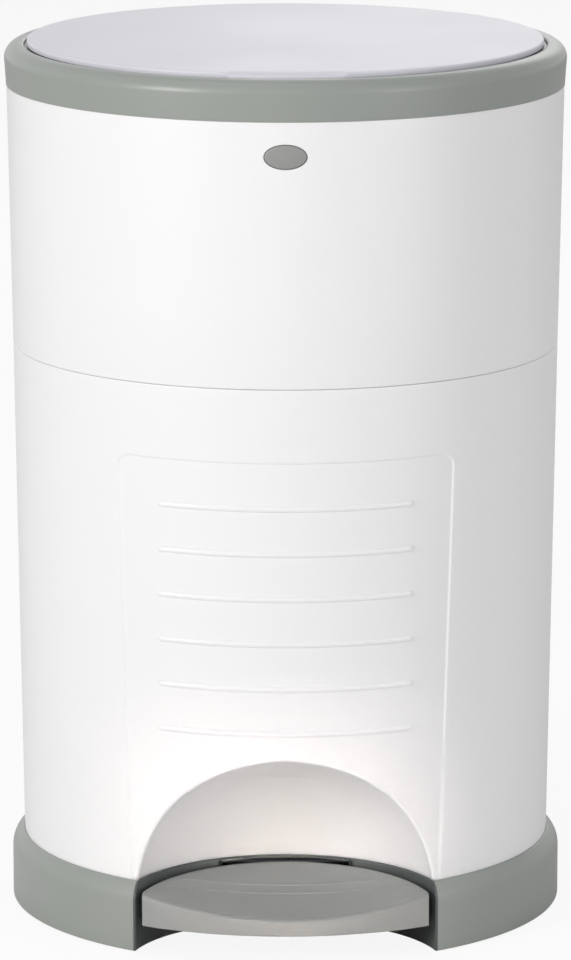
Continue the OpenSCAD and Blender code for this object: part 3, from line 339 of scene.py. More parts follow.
def lower_shell():
    """Outer and inner skin of the lower housing, in millimetres."""
    # Columns round the front, closer together where the panel's border runs
    side_n, split_z = 30, 140.0
    band = np.radians([45, 39.5, 32.5])
    half_turns = np.concatenate([
        np.linspace(band[0], band[1], 6, endpoint=False), np.linspace(band[1], band[2], 52, endpoint=False),
        np.linspace(band[2], 0, 46)])
    across = np.concatenate([half_turns, -half_turns[-2::-1]])
    top_n = len(across) - 1
    # The arch, from its foot on the deck over the top to the other foot
    foot = math.radians(crossing(8.0, 14.0, lambda a: arch_point(np.array([math.radians(a)]))[0, 2] < deck))
    shoulder = math.radians(42)
    arch_a = np.concatenate([
        np.linspace(foot, shoulder, side_n, endpoint=False),
        np.linspace(shoulder, math.pi - shoulder, top_n, endpoint=False),
        np.linspace(math.pi - shoulder, math.pi - foot, side_n + 1)])
    rise = deck + (split_z - deck) * np.linspace(0, 1, side_n, endpoint=False)
    rim_turn = np.concatenate([np.full(side_n, side), across, np.full(side_n, -side)])
    rim_z = np.concatenate([rise, np.full(top_n + 1, split_z), rise[::-1]])
    arch = arch_point(arch_a)
    arch_turn = np.arctan2(arch[:, 0], -arch[:, 1])
    n = len(arch_a)
    # Skin between the arch and the edge of the front sector
    probe = on_shell(arch_turn + 0.01 * (rim_turn - arch_turn), arch[:, 2] + 0.01 * (rim_z - arch[:, 2]))
    start_share = arch_soft / (np.linalg.norm(probe - arch, axis=1) * 100)
    outer = []
    for s in np.linspace(1, 0, 58) ** 1.1:
        t = start_share + (1 - start_share) * s
        outer.append(on_shell(arch_turn + t * (rim_turn - arch_turn), arch[:, 2] + t * (rim_z - arch[:, 2])))
    # Dome, in turn and lift angles round its centre
    centre = np.array([0, bite_y, dome_z])
    way = arch - centre
    turn_a = np.arctan2(way[:, 0], way[:, 1])
    lift_a = np.arcsin(way[:, 2] / dome_r)
    turn_a[0], turn_a[-1] = abs(turn_a[0]), -abs(turn_a[-1])
    lift_b = math.asin((deck - dome_z) / dome_r)

    def on_dome(s):
        turn, lift = turn_a * (1 - s), lift_a * (1 - s) + lift_b * s
        crease = eased((dome_z + dome_r * np.sin(lift) - crease_z) / crease_tall + 0.5)
        r = dome_r + crease_deep * (1 - crease) * np.clip(s * 20, 0, 1)
        return centre + np.stack([r * np.cos(lift) * np.sin(turn), r * np.cos(lift) * np.cos(turn),
                                  r * np.sin(lift)], -1)

    d0 = np.minimum(arch_soft / (np.linalg.norm(on_dome(0.002) - arch, axis=1) * 500), 0.5)
    dome = [on_dome(d0 + (1 - d0) * s) for s in np.linspace(0, 1, 80)[1:] ** 1.1]
    start, end = outer[-1], on_dome(d0)
    curve = [start * (1 - u) ** 2 + 2 * arch * u * (1 - u) + end * u * u for u in np.linspace(0, 1, 8)[1:]]
    rows = outer + curve + dome
    for row in rows:
        row[0, 2] = row[-1, 2] = deck
    points, faces = [], []

    def sheet(rows, closed=False):
        """Adds rows of points and the faces between them, and says where they start."""
        start = sum(len(p) for p in points)
        points.append(np.concatenate(rows))
        faces.extend(grid_faces(len(rows), len(rows[0]), start, closed))
        return start

    sheet(rows)
    # Front sector above the dome, then the rest of the way round
    heights = np.concatenate([
        np.linspace(split_z, 318, 46), np.linspace(318, 333, 26)[1:],
        np.linspace(333, seam - seam_soft, 12)[1:], seam - seam_soft * (1 - np.linspace(0, 0.98, 6)[1:])])
    sheet([on_shell(across, z) for z in heights])
    back_turn = np.linspace(-side, -2 * math.pi + side, 91)
    sheet([on_shell(back_turn, z) for z in np.concatenate([rise, heights])])
    # Inner skin, one column for each of the outer top edge, with a bulge round the dome
    round_turn = np.concatenate([across[:-1], back_turn[:-1]])
    inner = []
    for z in np.concatenate([np.linspace(deck + wall, 150, 40), np.linspace(150, heights[-1], 10)[1:]]):
        r = lower_r(z) - wall
        x, y = r * np.sin(round_turn), -r * np.cos(round_turn)
        room = (dome_r + wall) ** 2 - x ** 2 - (z - dome_z) ** 2
        bulge = (np.cos(round_turn) > 0) & (room > 0)
        dome_y = bite_y + np.sqrt(np.maximum(room, 0))
        inner.append(np.stack([x, np.where(bulge, np.maximum(y, dome_y), y), z + 0 * x], -1))
    m = len(round_turn)
    low_in = sheet(inner, closed=True)
    faces.append([low_in + j for j in range(m)])
    # Top edge
    top_in = low_in + (len(inner) - 1) * m
    top_out = sheet([on_shell(round_turn, heights[-1])])
    for j in range(m):
        k = (j + 1) % m
        faces.append((top_out + j, top_out + k, top_in + k, top_in + j))
    return solid_of(np.concatenate(points), faces, fill=True)


def box_mesh(low, high, soft=0.0):
    """Closed block between two corners in millimetres, with rounded edges if soft is given."""
    bm = bmesh.new()
    made = bmesh.ops.create_cube(bm, size=1)
    for vert in made["verts"]:
        vert.co = Vector([low[i] if vert.co[i] < 0 else high[i] for i in range(3)]) / 1000
    if soft:
        bmesh.ops.bevel(bm, geom=bm.edges, offset=soft / 1000, segments=3, profile=0.5, affect="EDGES")
    mesh = bpy.data.meshes.new("block")
    bm.to_mesh(mesh)
    bm.free()
    return mesh


def lofted(rings):
    """Closed solid through rings of points in millimetres, with a flat face over each end."""
    n = len(rings[0])
    ends = [[start + j for j in range(n)] for start in (0, (len(rings) - 1) * n)]
    return solid_of(np.concatenate(rings), grid_faces(len(rings), n, closed=True) + ends)


def rod_mesh(start, end, r, soft=0.3, sides=48):
    """Closed round bar between two points in millimetres, with rounded ends."""
    start, end = Vector(start), Vector(end)
    length = (end - start).length
    section = [(r - soft, 0), (r - 0.3 * soft, 0.3 * soft), (r, soft),
               (r, length - soft), (r - 0.3 * soft, length - 0.3 * soft), (r - soft, length)]
    turn = Vector((0, 0, 1)).rotation_difference((end - start).normalized())
    turns = np.linspace(0, 2 * math.pi, sides, endpoint=False)
    return lofted([[turn @ Vector((radius * math.cos(a), radius * math.sin(a), along)) + start for a in turns]
                   for radius, along in section])


def together(*meshes):
    """One mesh of several closed ones."""
    bm = bmesh.new()
    for mesh in meshes:
        bm.from_mesh(mesh)
    result = bpy.data.meshes.new("together")
    bm.to_mesh(result)
    bm.free()
    return result


def cut(mesh, *cutters):
    """The mesh less closed cutters."""
    for cutter in cutters:
        tool = bpy.data.objects.new("cutter", cutter)
        link(tool)
        mesh = changed(mesh, "BOOLEAN", object=tool, operation="DIFFERENCE", solver="EXACT")
        bpy.data.objects.remove(tool)
    return mesh


def round_places(radius, turns, z):
    """Places round the bin's axis, in millimetres, at angles in degrees."""
    return [Vector((radius * math.cos(a), radius * math.sin(a), z)) for a in map(math.radians, turns)]


def knuckle(x, low, high):
    """One knuckle of the body hinge round its pin, with the foot that stands on the hinge block."""
    return together(rod_mesh((x - 5, 178, seam), (x + 5, 178, seam), 4.9, 0.5),
                    box_mesh((x - 5, 174, seam + low), (x + 5, 177.9, seam + high)))


pocket = ((-32, 165, seam - 10.4), (32, 260, seam + 10.4))
base_screw_turns = (-20, 20, 60, 120, 160, 200)
bosses = [rod_mesh(p, p + Vector((0, 0, 11.8)), 5, 0.6) for p in round_places(150, base_screw_turns, 45)]
shell = cut(lower_shell(), box_mesh(*pocket))
block = cut(box_mesh((-35, 162, seam - 13.4), (35, 177.6, seam)), box_mesh(*pocket))
knuckles = [knuckle(x, -11.9, -1) for x in (-10.5, 10.5)]
placed("lower_housing_shell", together(shell, block, *knuckles, *bosses), "bin_body", white_plastic,
       "lower_housing")

# ---- panel ribs
# Six low bars across the front panel, moulded with the lower housing. They are rounded like
# half an ellipse, with round ends, and follow the cone of the panel. Each catches a light
# line along its top.


def tree_of(name, inputs):
    """A geometry tree with named inputs, and the sockets of its input node."""
    group = bpy.data.node_groups.new(name, "GeometryNodeTree")
    group.interface.new_socket("Geometry", in_out="INPUT", socket_type="NodeSocketGeometry")
    for label, kind in inputs.items():
        group.interface.new_socket(label, in_out="INPUT", socket_type="NodeSocket" + kind)
    group.interface.new_socket("Geometry", in_out="OUTPUT", socket_type="NodeSocketGeometry")
    return group, add(group, "NodeGroupInput").outputs


def close_tree(group, shape, material):
    """Ends a geometry tree in real geometry with its material."""
    real = add(group, "GeometryNodeRealizeInstances", {"Geometry": shape})
    done = add(group, "GeometryNodeSetMaterial", {"Geometry": real, "Material": material})
    add(group, "NodeGroupOutput", {"Geometry": done})


def from_tree(group, values, start):
    """The plain mesh that a geometry tree makes of a start mesh and its named values."""
    sockets = {item.name: item.identifier for item in group.interface.items_tree
               if item.item_type == "SOCKET" and item.in_out == "INPUT"}
    return changed(start, "NODES", {sockets[name]: value for name, value in values.items()}, node_group=group)


# Millimetres: half length, half height, half thickness, how far the axis lies inside the
# housing's cone, and the height and step of the axes
rib_half, rib_tall, rib_thick, rib_sink, rib_first, rib_step = 82.0, 2.1, 2.1, 1.35, 299.0, 29.56
share = np.linspace(-1, 1, 141)
along = rib_half * np.sign(share) * (1 - (1 - np.abs(share)) ** 1.7)
bend = np.maximum(1 - (rib_half - np.abs(along)) / rib_tall, 0)
turns = np.linspace(0, 2 * math.pi, 28, endpoint=False)
bar = lofted([
    np.stack([x + 0 * turns, rib_thick * round_off * np.cos(turns), rib_tall * round_off * np.sin(turns)], -1)
    for x, round_off in zip(along, np.sqrt(1.0001 - bend ** 2))])

tree, given = tree_of("Panel_ribs", {
    "Count": "Int", "First": "Vector", "Step": "Vector", "Radius": "Float", "Slope": "Float",
    "Material": "Material"})
posts = add(tree, "GeometryNodeMeshLine", {
    "Count": given["Count"], "Start Location": given["First"], "Offset": given["Step"]}, mode="OFFSET")
bars = add(tree, "GeometryNodeInstanceOnPoints", {"Points": posts, "Instance": given["Geometry"]})
bars = add(tree, "GeometryNodeRealizeInstances", {"Geometry": bars})
at = add(tree, "ShaderNodeSeparateXYZ", {"Vector": add(tree, "GeometryNodeInputPosition")}).outputs
cone = add(tree, "ShaderNodeMath", {0: at["Z"], 1: given["Slope"], 2: given["Radius"]},
           operation="MULTIPLY_ADD")
cone = add(tree, "ShaderNodeMath", {0: cone, 1: at["Y"]}, operation="SUBTRACT")
squares = [add(tree, "ShaderNodeMath", {0: reach, 1: reach}, operation="MULTIPLY")
           for reach in (cone, at["X"])]
back = add(tree, "ShaderNodeMath", {0: squares[0], 1: squares[1]}, operation="SUBTRACT")
back = add(tree, "ShaderNodeMath", {0: back}, operation="SQRT")
back = add(tree, "ShaderNodeMath", {0: back, 1: -1.0}, operation="MULTIPLY")
wrapped = add(tree, "ShaderNodeCombineXYZ", {"X": at["X"], "Y": back, "Z": at["Z"]})
bars = add(tree, "GeometryNodeSetPosition", {"Geometry": bars, "Position": wrapped})
close_tree(tree, bars, given["Material"])
ribs = from_tree(tree, {
    "Count": 6, "First": (0.0, 0.0, rib_first / 1000), "Step": (0.0, 0.0, -rib_step / 1000),
    "Radius": (lower_r(0) - rib_sink) / 1000, "Slope": cone_slope, "Material": white_plastic}, bar)
placed("panel_ribs", ribs, "bin_body", white_plastic, "lower_housing")

# ---- upper housing
# The white ring-shaped shell above the seam, injection-moulded in the same polypropylene. It
# carries everything of the upper section, and a spigot under its lower edge sits in the lower
# housing. An oval hole in its front takes the button.
turned_tree, given = tree_of("Turned_section", {"Radius": "Float", "Sides": "Int", "Material": "Material"})
section = add(turned_tree, "GeometryNodeMeshToCurve", {"Mesh": given["Geometry"]})
circle = add(turned_tree, "GeometryNodeCurvePrimitiveCircle", {
    "Resolution": given["Sides"], "Radius": given["Radius"]})
circle = add(turned_tree, "GeometryNodeSetCurveNormal", {"Curve": circle}, mode="Z_UP")
solid = add(turned_tree, "GeometryNodeCurveToMesh", {"Curve": circle, "Profile Curve": section})
solid = add(turned_tree, "GeometryNodeMergeByDistance", {"Geometry": solid, "Distance": 1e-6})
close_tree(turned_tree, solid, given["Material"])


def softened(corners, steps=4):
    """Outline whose corners, given as (x, y, radius), are rounded."""
    points = []
    for i, (x, y, soft) in enumerate(corners):
        if not soft:
            points.append((x, y))
            continue
        here = Vector((x, y))
        to_last = (Vector(corners[i - 1][:2]) - here).normalized()
        to_next = (Vector(corners[(i + 1) % len(corners)][:2]) - here).normalized()
        half = to_last.angle(to_next) / 2
        start, end = here + to_last * soft / math.tan(half), here + to_next * soft / math.tan(half)
        middle = here + (to_last + to_next).normalized() * soft / math.sin(half)
        a, b = start - middle, end - middle
        for k in range(steps + 1):
            way = (a * (1 - k / steps) + b * (k / steps)).normalized() * soft
            points.append(tuple(middle + way))
    return points


def wire(points, edges=()):
    """A mesh of bare points in millimetres, and edges between them."""
    mesh = bpy.data.meshes.new("wire")
    mesh.from_pydata([[c / 1000 for c in p] for p in points], edges, [])
    return mesh


def turned(section, sides, centre=100.0):
    """Closed ring that a section of (radius, height) in millimetres makes round the axis."""
    count = len(section)
    start = wire([(r - centre, -z, 0) for r, z in section], [(i, (i + 1) % count) for i in range(count)])
    return from_tree(turned_tree, {"Radius": centre / 1000, "Sides": sides}, start)


def prism(outline, low, high, axis, soft=0.0, steps=3):
    """Closed prism of a flat outline, from low to high along an axis, with rounded rims."""
    flat = [Vector(p) for p in outline]
    area = sum(flat[i - 1].x * p.y - flat[i - 1].y * p.x for i, p in enumerate(flat))
    hand = 1 if area > 0 else -1
    inward = []
    for i, p in enumerate(flat):
        a, b = (p - flat[i - 1]).normalized(), (flat[(i + 1) % len(flat)] - p).normalized()
        n = (Vector((-a.y - b.y, a.x + b.x)) * hand).normalized()
        inward.append(n / max(n.dot(Vector((-a.y, a.x)) * hand), 0.3))
    levels = [(0, low), (0, high)]
    if soft:
        quarter = [math.radians(90 * k / steps) for k in range(steps + 1)]
        levels = [(soft * (1 - math.sin(a)), low + soft * (1 - math.cos(a))) for a in quarter]
        levels += [(inset, high + low - level) for inset, level in reversed(levels)]
    rings = []
    for inset, level in levels:
        ring = [p + n * inset for p, n in zip(flat, inward)]
        rings.append([{"X": (level, q.x, q.y), "Y": (q.x, level, q.y), "Z": (q.x, q.y, level)}[axis]
                      for q in ring])
    return lofted(rings)


def oval(grow=0.0, steps=96):
    """Outline of the button across X and Z, grown by a clearance or a flange."""
    turns = [2 * math.pi * i / steps for i in range(steps)]
    return [((button_w + grow) * math.cos(a), button_z + (button_h + grow) * math.sin(a)) for a in turns]


# Millimetres: the foot of the skin's cone and its slope, the low edge over the seam's gap, and
# the button's half width, half height and height above the floor
upper_foot_r, upper_slope, low_edge = 179.5, 3.1 / 172.6, seam + 0.3
button_w, button_h, button_z = 13.5, 7.7, 525.8
# Corners of a section: radius, height and rounding
housing = turned(softened([
    (173, 371.4, 0.6), (176, 371.4, 0.6), (176, low_edge, 0), (upper_foot_r, low_edge, 0.7)]
    + [(upper_foot_r + upper_slope * (z - seam), z, 0) for z in (430, 490, 505, 512, 518, 526, 534, 540)] + [
    (182.6, 549, 0.3), (179.6, 549, 0.3), (176.6, 382.4, 0), (173, 382.4, 0.5)]), 360)
housing = cut(housing, prism(oval(0.4), -260, -150, "Y"), box_mesh((-32, 165, 300), (32, 260, seam + 10.4)),
              box_mesh((-35, 162, 300), (35, 260, low_edge)))
hinge_block = cut(box_mesh((-35, 162, low_edge), (35, 178, seam + 13.4)), box_mesh(*pocket),
                  rod_mesh((0, 151, 360), (0, 151, 420), 6.3))
latch_ears = [box_mesh((s * 18 - 2, -178.5, 444), (s * 18 + 2, -162.5, 456), 0.5) for s in (-1, 1)]
knuckles = [knuckle(x, 1, 11.9) for x in (-21, 0, 21)]
placed("upper_housing_shell", together(housing, hinge_block, *latch_ears, *knuckles), "top_section",
       white_plastic, "upper_housing")

# ---- top rim
# The grey ring that closes the upper housing: injection-moulded polypropylene with a large
# rounded outer shoulder, a groove over the housing's wall and a ledge under the lid. Ears at
# its back notch hold the lid's pin.
lid_pin, barrel_r = (168, 570.7), 4.5
diagonals = (45, 135, 225, 315)


def arc(x, y, r, start, end, steps):
    """Points of an arc between two angles in degrees."""
    turns = [math.radians(start + (end - start) * i / steps) for i in range(steps + 1)]
    return [(x + r * math.cos(a), y + r * math.sin(a)) for a in turns]


rim = turned(softened([
    (176.2, 541, 0.4), (179.1, 541, 0.4), (179.2, 568, 0), (181, 568, 0), (181, 549, 0.3),
    (184, 549, 0.7)]) + arc(175, 565, 9, 0, 90, 28) + arc(172.5, 572.3, 1.7, 90, 180, 9) + softened([
        (170.8, 572, 0), (160, 572, 0.5), (160, 569, 0.5), (170.8, 569, 0),
        (170.8, 556, 0.5), (176.2, 556, 0)]), 300)
rim = cut(rim, box_mesh((-62, 145, 561.7), (62, 400, 600)))
bosses = [rod_mesh(p, p + Vector((0, 0, 22.7)), 5, 0.4) for p in round_places(165, diagonals, 549.1)]
ears = []
for low in (-62, 55.5):
    ears.append(rod_mesh((low, *lid_pin), (low + 6.5, *lid_pin), barrel_r, 0.4))
    ears.append(box_mesh((low, 163.5, 556.5), (low + 6.5, 172.5, 570.7), 0.3))
placed("top_rim_shell", together(rim, *bosses, *ears), "top_section", grey_plastic, "top_rim")

# ---- lid
# A flat, very slightly crowned lid that fills the rim: moulded polypropylene, a cooler and duller
# white than the housings. A shallow scoop in its front edge takes the fingers. A pad under its
# back carries the hinge barrel, and a lip and a skirt stiffen it from below.
lid_plastic = surface("Polypropylene_lid_cool_white", "lid_plastic", "#dddce5", 0.42, drift=0.004)
# Millimetres: radius, top and underside of the edge, its rounding, the crown, then the scoop's
# half width, the soft part of that, its reach inwards and its depth
lid_r, lid_top, lid_low, lid_soft, crown_r, crown_high = 169.0, 577.2, 574.2, 1.5, 167.5, 0.6
scoop_half, scoop_soft, scoop_in, scoop_deep = 40.0, 5.0, 8.0, 2.0


def lid_face(p):
    """Heights of the lid's face at plan points: the crown less the finger scoop."""
    away = np.hypot(p[:, 0], p[:, 1])
    window = eased((scoop_half - np.abs(p[:, 0])) / scoop_soft * (p[:, 1] < 0))
    depth = np.clip(1 - (lid_r - away) / scoop_in, 0, 1)
    return crown_high * (1 - (np.minimum(away, crown_r) / crown_r) ** 2) - scoop_deep * window * depth ** 1.6


def lid_mesh():
    """Plate of the lid: its outline drawn in ring by ring, over the rounded edge to the middle."""
    front = math.radians(16)
    turns = np.concatenate([
        np.linspace(math.pi, front, 280, endpoint=False), np.linspace(front, -front, 150, endpoint=False),
        np.linspace(-front, -math.pi, 280, endpoint=False)])
    inward = np.stack([-np.sin(turns), np.cos(turns)], -1)
    # Inset, height, and how much the face's crown and scoop move the ring
    rings = [(3.2, lid_low, 0), (2.5, lid_low, 0), (2.5, lid_low - 0.8, 0), (2.2, lid_low - 1, 0)]
    for q in np.radians(np.linspace(0, 90, 5)):
        rings.append((0.4 * (1 - math.sin(q)), lid_low - 1 + 0.4 * (1 - math.cos(q)), 0))
    for q in np.radians(np.linspace(0, 90, 9)):
        rings.append((lid_soft * (1 - math.cos(q)), lid_top - lid_soft * (1 - math.sin(q)), 1))
    rings.append((2.2, lid_top, 1))
    rows = []
    for inset, z, lift in rings:
        p = (inset - lid_r) * inward
        rows.append(np.column_stack([p, z + lift * lid_face(p)]))
    away = np.hypot(p[:, 0], p[:, 1])[:, None]
    for reach in (166, 165.4, 164.7, 164, 163.3, 162.6, 161.9, 161.3, 160.8, 160.1, 159, 156, 148,
                  135, 110, 85, 60, 35, 14, 2):
        q = p / away * np.minimum(away, reach)
        rows.append(np.column_stack([q, lid_top + lid_face(q)]))
    return lofted(rows)


skirt = turned(softened([(156, 562.2, 0.8), (158.5, 562.2, 0.8), (158.5, 574.3, 0), (156, 574.3, 0)]), 200)
skirt = cut(skirt, box_mesh((-12, 140, 550), (12, 170, 580)))
hinge_pad = prism([(158, 570.9), (167.9, 570.9), (167.9, 575.1), (158, 575.1)], -54, 54, "X", 0.4)
barrel = rod_mesh((-54, *lid_pin), (54, *lid_pin), barrel_r, 0.5)
# The lever under the barrel, down and forwards at 40 degrees, with a round tip for the push rod
down = Vector((-math.cos(math.radians(40)), -math.sin(math.radians(40))))
over = Vector((down.y, -down.x))
heel = Vector(lid_pin)
tip = heel + down * 18.315
lever = prism([heel + over * 3.8, tip + over * 3.8, tip - over * 0.2, heel - over * 0.2], -4, 4, "X", 0.4)
lever_tip = rod_mesh((-4, *tip), (4, *tip), 3, 0.4)
placed("lid_shell", together(lid_mesh(), skirt, hinge_pad, barrel, lever, lever_tip), "lid",
       lid_plastic, "lid")

# ---- pedal
# The lens-shaped foot pedal in the bite of the base: injection-moulded polypropylene in a plain
# satin grey, hollow below, with a dished tread and two low ridges against slipping. Its tongue
# goes through a slot under the dome and is screwed to the steel lever.
pedal_plastic = surface("Polypropylene_pedal_grey", "grey_plastic", "#949694", 0.38)
# Millimetres: half width, radii of the front and back arcs, rounding of the edge and how far it
# draws in at the front, thickness of the tread, then radius and centre of its dish
pedal_half, pedal_front_r, pedal_back_r = 92.8, 182.7, 98.8
pedal_soft, pedal_front_soft, tread_thick = 1.6, 5.0, 3.0
dish_r, dish_y, dish_z = 520.0, -205.0, 549.52


def tread(p, lower=0.0):
    """Heights of the dished tread at plan points."""
    return dish_z - np.sqrt((dish_r + lower) ** 2 - p[:, 0] ** 2 - (p[:, 1] - dish_y) ** 2)


def pedal_mesh():
    """Tread, rounded edge, side walls, rim below and hollow underside of the pedal."""
    n, end_n, lines_n = 120, 15, 16

    def outline(inset, ahead=None):
        """Front arc, one end, back arc and the other end, each point count kept as it is drawn in."""
        xs = (pedal_half - inset) * np.sin(np.radians(np.linspace(-90, 90, n)))
        drawn = inset if ahead is None else ahead
        front = np.stack([xs, -np.sqrt((pedal_front_r - drawn) ** 2 - xs ** 2)], -1)
        back = np.stack([-xs, bite_y + np.sqrt((pedal_back_r - inset) ** 2 - xs ** 2)], -1)
        steps = np.arange(1, end_n + 1)[:, None] / (end_n + 1)
        return np.concatenate([front, front[-1] + (back[0] - front[-1]) * steps,
                               back, back[-1] + (front[0] - back[-1]) * steps])

    # Underside of the rim, then the outer wall and the rounded edge of the tread
    rows = [np.column_stack([outline(inset), np.full(2 * (n + end_n), z)])
            for inset, z in ((2.6, 21.0), (2.6, 19.0), (0.5, 19.0), (0.1, 19.4))]
    top = outline(pedal_soft, pedal_front_soft)
    count = len(top)
    fall = np.where(np.arange(count) < n, 2.4, pedal_soft)
    for q in np.radians(np.linspace(0, 90, 13)):
        p = outline(pedal_soft * (1 - math.cos(q)), pedal_front_soft * (1 - math.cos(q)))
        rows.append(np.column_stack([p, tread(top) - fall * (1 - math.sin(q))]))
    points = np.concatenate(rows)
    faces = grid_faces(len(rows), count, closed=True)

    def fill(start, edge, lower):
        """Grid of faces on the dish between the front and the back arc of a ring of points."""
        nonlocal points
        total = len(points)
        ends = [range(start + count - 1, start + count - 1 - end_n, -1), range(start + n, start + n + end_n)]
        a, b = edge[:n], edge[n + end_n:2 * n + end_n][::-1]
        lines, grid = [], [list(range(start, start + n))]
        for k in range(1, lines_n):
            lines.append(a[1:-1] * (1 - k / lines_n) + b[1:-1] * (k / lines_n))
            grid.append([ends[0][k - 1], *range(total, total + n - 2), ends[1][k - 1]])
            total += n - 2
        grid.append(list(range(start + 2 * n + end_n - 1, start + n + end_n - 1, -1)))
        flat = np.concatenate(lines)
        points = np.concatenate([points, np.column_stack([flat, tread(flat, lower)])])
        for i in range(lines_n):
            for j in range(n - 1):
                faces.append((grid[i][j], grid[i][j + 1], grid[i + 1][j + 1], grid[i + 1][j]))

    fill((len(rows) - 1) * count, top, 0.0)
    low = outline(3.2)
    start = len(points)
    points = np.concatenate([points, np.column_stack([low, tread(low, tread_thick)])])
    faces += [(j, (j + 1) % count, start + (j + 1) % count, start + j) for j in range(count)]
    fill(start, low, tread_thick)
    return solid_of(points, faces)


def tread_ridge(y, half, end=1.3, wide=1.2, high=0.6, sunk=0.4):
    """Straight round-topped bar across the tread, with round ends, sunk into it."""
    steps = np.radians(np.linspace(5, 90, 8))
    xs = np.concatenate([end * (1 - np.cos(steps)) - half, np.linspace(2 - half, half - 2, 70),
                         half - end * (1 - np.cos(steps[::-1]))])
    turns = np.radians(np.arange(0, 360, 15))
    rings = []
    for x in xs:
        part = math.sqrt(1 - max(0.0, (abs(x) - half + end) / end) ** 2)
        flat = np.stack([np.full(len(turns), x), y + wide * part * np.cos(turns)], -1)
        lift = np.where(np.sin(turns) > 0, high * part, sunk) * np.sin(turns)
        rings.append(np.column_stack([flat, tread(flat) + lift]))
    return lofted(rings)


stiffeners = []
for x in (-45, 0, 45):
    up, front, back = 0.00096 * x * x, -176 + abs(x) * 0.1, -91 - abs(x) * 0.26
    profile = [(front, 19.2), (back, 19.2), (back, 38.4 + up), (-130, 32.4 + up), (front, 27.8 + up)]
    stiffeners.append(prism(profile, x - 1.5, x + 1.5, "X", 0.3))
tongue = box_mesh((-36, -100, 30), (36, -62, 36), 0.8)
ridges = [tread_ridge(-120.5, 68), tread_ridge(-134, 79)]
placed("pedal_shell", together(pedal_mesh(), *ridges, *stiffeners, tongue), "pedal", pedal_plastic,
       "pedal")

# ---- release button
# The oval push button in the front of the upper housing, moulded in the pedal's grey. Its face
# is domed, and a flange behind it keeps it in the hole.
button_face, button_back = -183.35, -176.0
outline = np.array(oval())
rings = []
for share in (0.01, 0.15, 0.3, 0.45, 0.6, 0.72, 0.82, 0.89, 0.94, 0.97, 0.988, 0.997, 1.0):
    fall = 0.9 * share ** 2.4 + 0.9 * (1 - math.sqrt(max(1 - max(share - 0.9, 0) ** 2 * 100, 0)))
    x, z = share * outline[:, 0], button_z + share * (outline[:, 1] - button_z)
    rings.append(np.stack([x, button_face + fall + 0.002 * x * x, z], -1))
rings.append(np.stack([outline[:, 0], np.full(len(outline), button_back), outline[:, 1]], -1))
flange = prism(oval(2.0), -178, -175.5, "Y", 0.4)
stem = box_mesh((-5, button_back, button_z - 4), (5, -169.4, button_z + 4), 0.4)
placed("button_cap", together(lofted(rings), flange, stem), "button", pedal_plastic,
       "release_button")

# ---- hopper
# The inner bowl under the lid, injection-moulded polypropylene in a warmer, duller white. It has
# a round throat in its floor and a raised collar that the lid's seal rests on, and its flange
# hangs from the rim on four screws.
inner_plastic = surface("Polypropylene_inner_natural_white", "inner_plastic", "#ecebe8", 0.45, drift=0.006)
hopper = turned(softened([
    (72, 473, 1.2), (133, 473, 2.5), (133, 546, 1.5), (171, 546, 0.5), (171, 549, 0.5), (141, 549, 1.5),
    (141, 567.9, 1), (138, 567.9, 1), (138, 549, 0.8), (130, 549, 0.8), (130, 478, 4), (75, 478, 2),
    (75, 505, 1), (72, 505, 1)]), 240)
hopper = cut(hopper, rod_mesh((0, 151, 540), (0, 151, 555), 3.1))
placed("hopper_bowl", hopper, "top_section", inner_plastic, "hopper")

# ---- guide ring
# The grey funnel that lies over the film cassette and leads a nappy and the film down the
# throat. It is moulded in the rim's plastic and lifts out to change the cassette.
guide = turned(softened([
    (75.5, 508, 1), (78.5, 508, 1), (78.5, 525, 2), (128, 545, 2), (129.7, 549, 0), (136.5, 549, 0.8),
    (136.5, 551.5, 1), (126, 551.5, 3), (75.5, 529, 4)]), 240)
placed("guide_funnel", guide, "top_section", grey_plastic, "guide_ring")

# ---- film cassette
# An open ring-shaped tray of thin white plastic that holds the bag film. The film is blown
# polyethylene, milky with a soft gloss, packed in fine pleats one on another.
tray = turned(softened([
    (80, 478, 1.5), (128, 478, 1.5), (128, 522, 0.8), (125.5, 522, 0.8), (125.5, 480.5, 1),
    (82.5, 480.5, 1), (82.5, 522, 0.8), (80, 522, 0.8)]), 200)
placed("cassette_ring", tray, "top_section", inner_plastic, "cassette_tray")
film = surface("Polyethylene_film_milky", "film", "#dfe6ea", 0.24, grain=2.5, depth=0.03, drift=0.01,
               shine={"IOR": 1.49, "Coat Weight": 0.3, "Coat Roughness": 0.2})
pleats, pleat_deep, pack_low, pack_top = 26, 0.9, 481, 518
half_pleat = (pack_top - pack_low) / pleats / 2
folded = [(83.1 + pleat_deep * (i % 2), pack_low + i * half_pleat) for i in range(2 * pleats + 1)]
folded += [(124.9 - pleat_deep * (i % 2), pack_top - i * half_pleat) for i in range(2 * pleats + 1)]
placed("film_pack", turned(folded, 120), "top_section", film, "cassette_film", sharp=80)

# ---- trap doors
# A white ring under the hopper carries two half-round doors on steel pins. They are moulded in a
# darker, duller grey than the rim, and spring shut after a nappy has dropped between them.
flap_plastic = surface("Polypropylene_door_grey", "flap_plastic", "#8b908c", 0.42)
placed("trap_ring", rounded("trap_frame", 0.5), "top_section", inner_plastic, "trap_frame")
for hand in ("left", "right"):
    placed("trap_door_" + hand, rounded("trap_flap_" + hand, 0.5), "flap_" + hand, flap_plastic,
           "trap_flap_" + hand)

# ---- film cutter
# A small grey moulding under the front of the trap ring, with a steel blade behind a slot. It
# cuts the film when the full bag is taken out.
placed("cutter_case", rounded("cutter_body", 0.7), "top_section", flap_plastic, "cutter_body")

# ---- latch
# A white lever behind the button, on a steel pin. Its barb hooks under the steel strike of
# the lower housing, and the button's stem tips it free.
placed("latch_arm", rounded("latch_lever", 0.4), "latch", inner_plastic, "latch_lever")

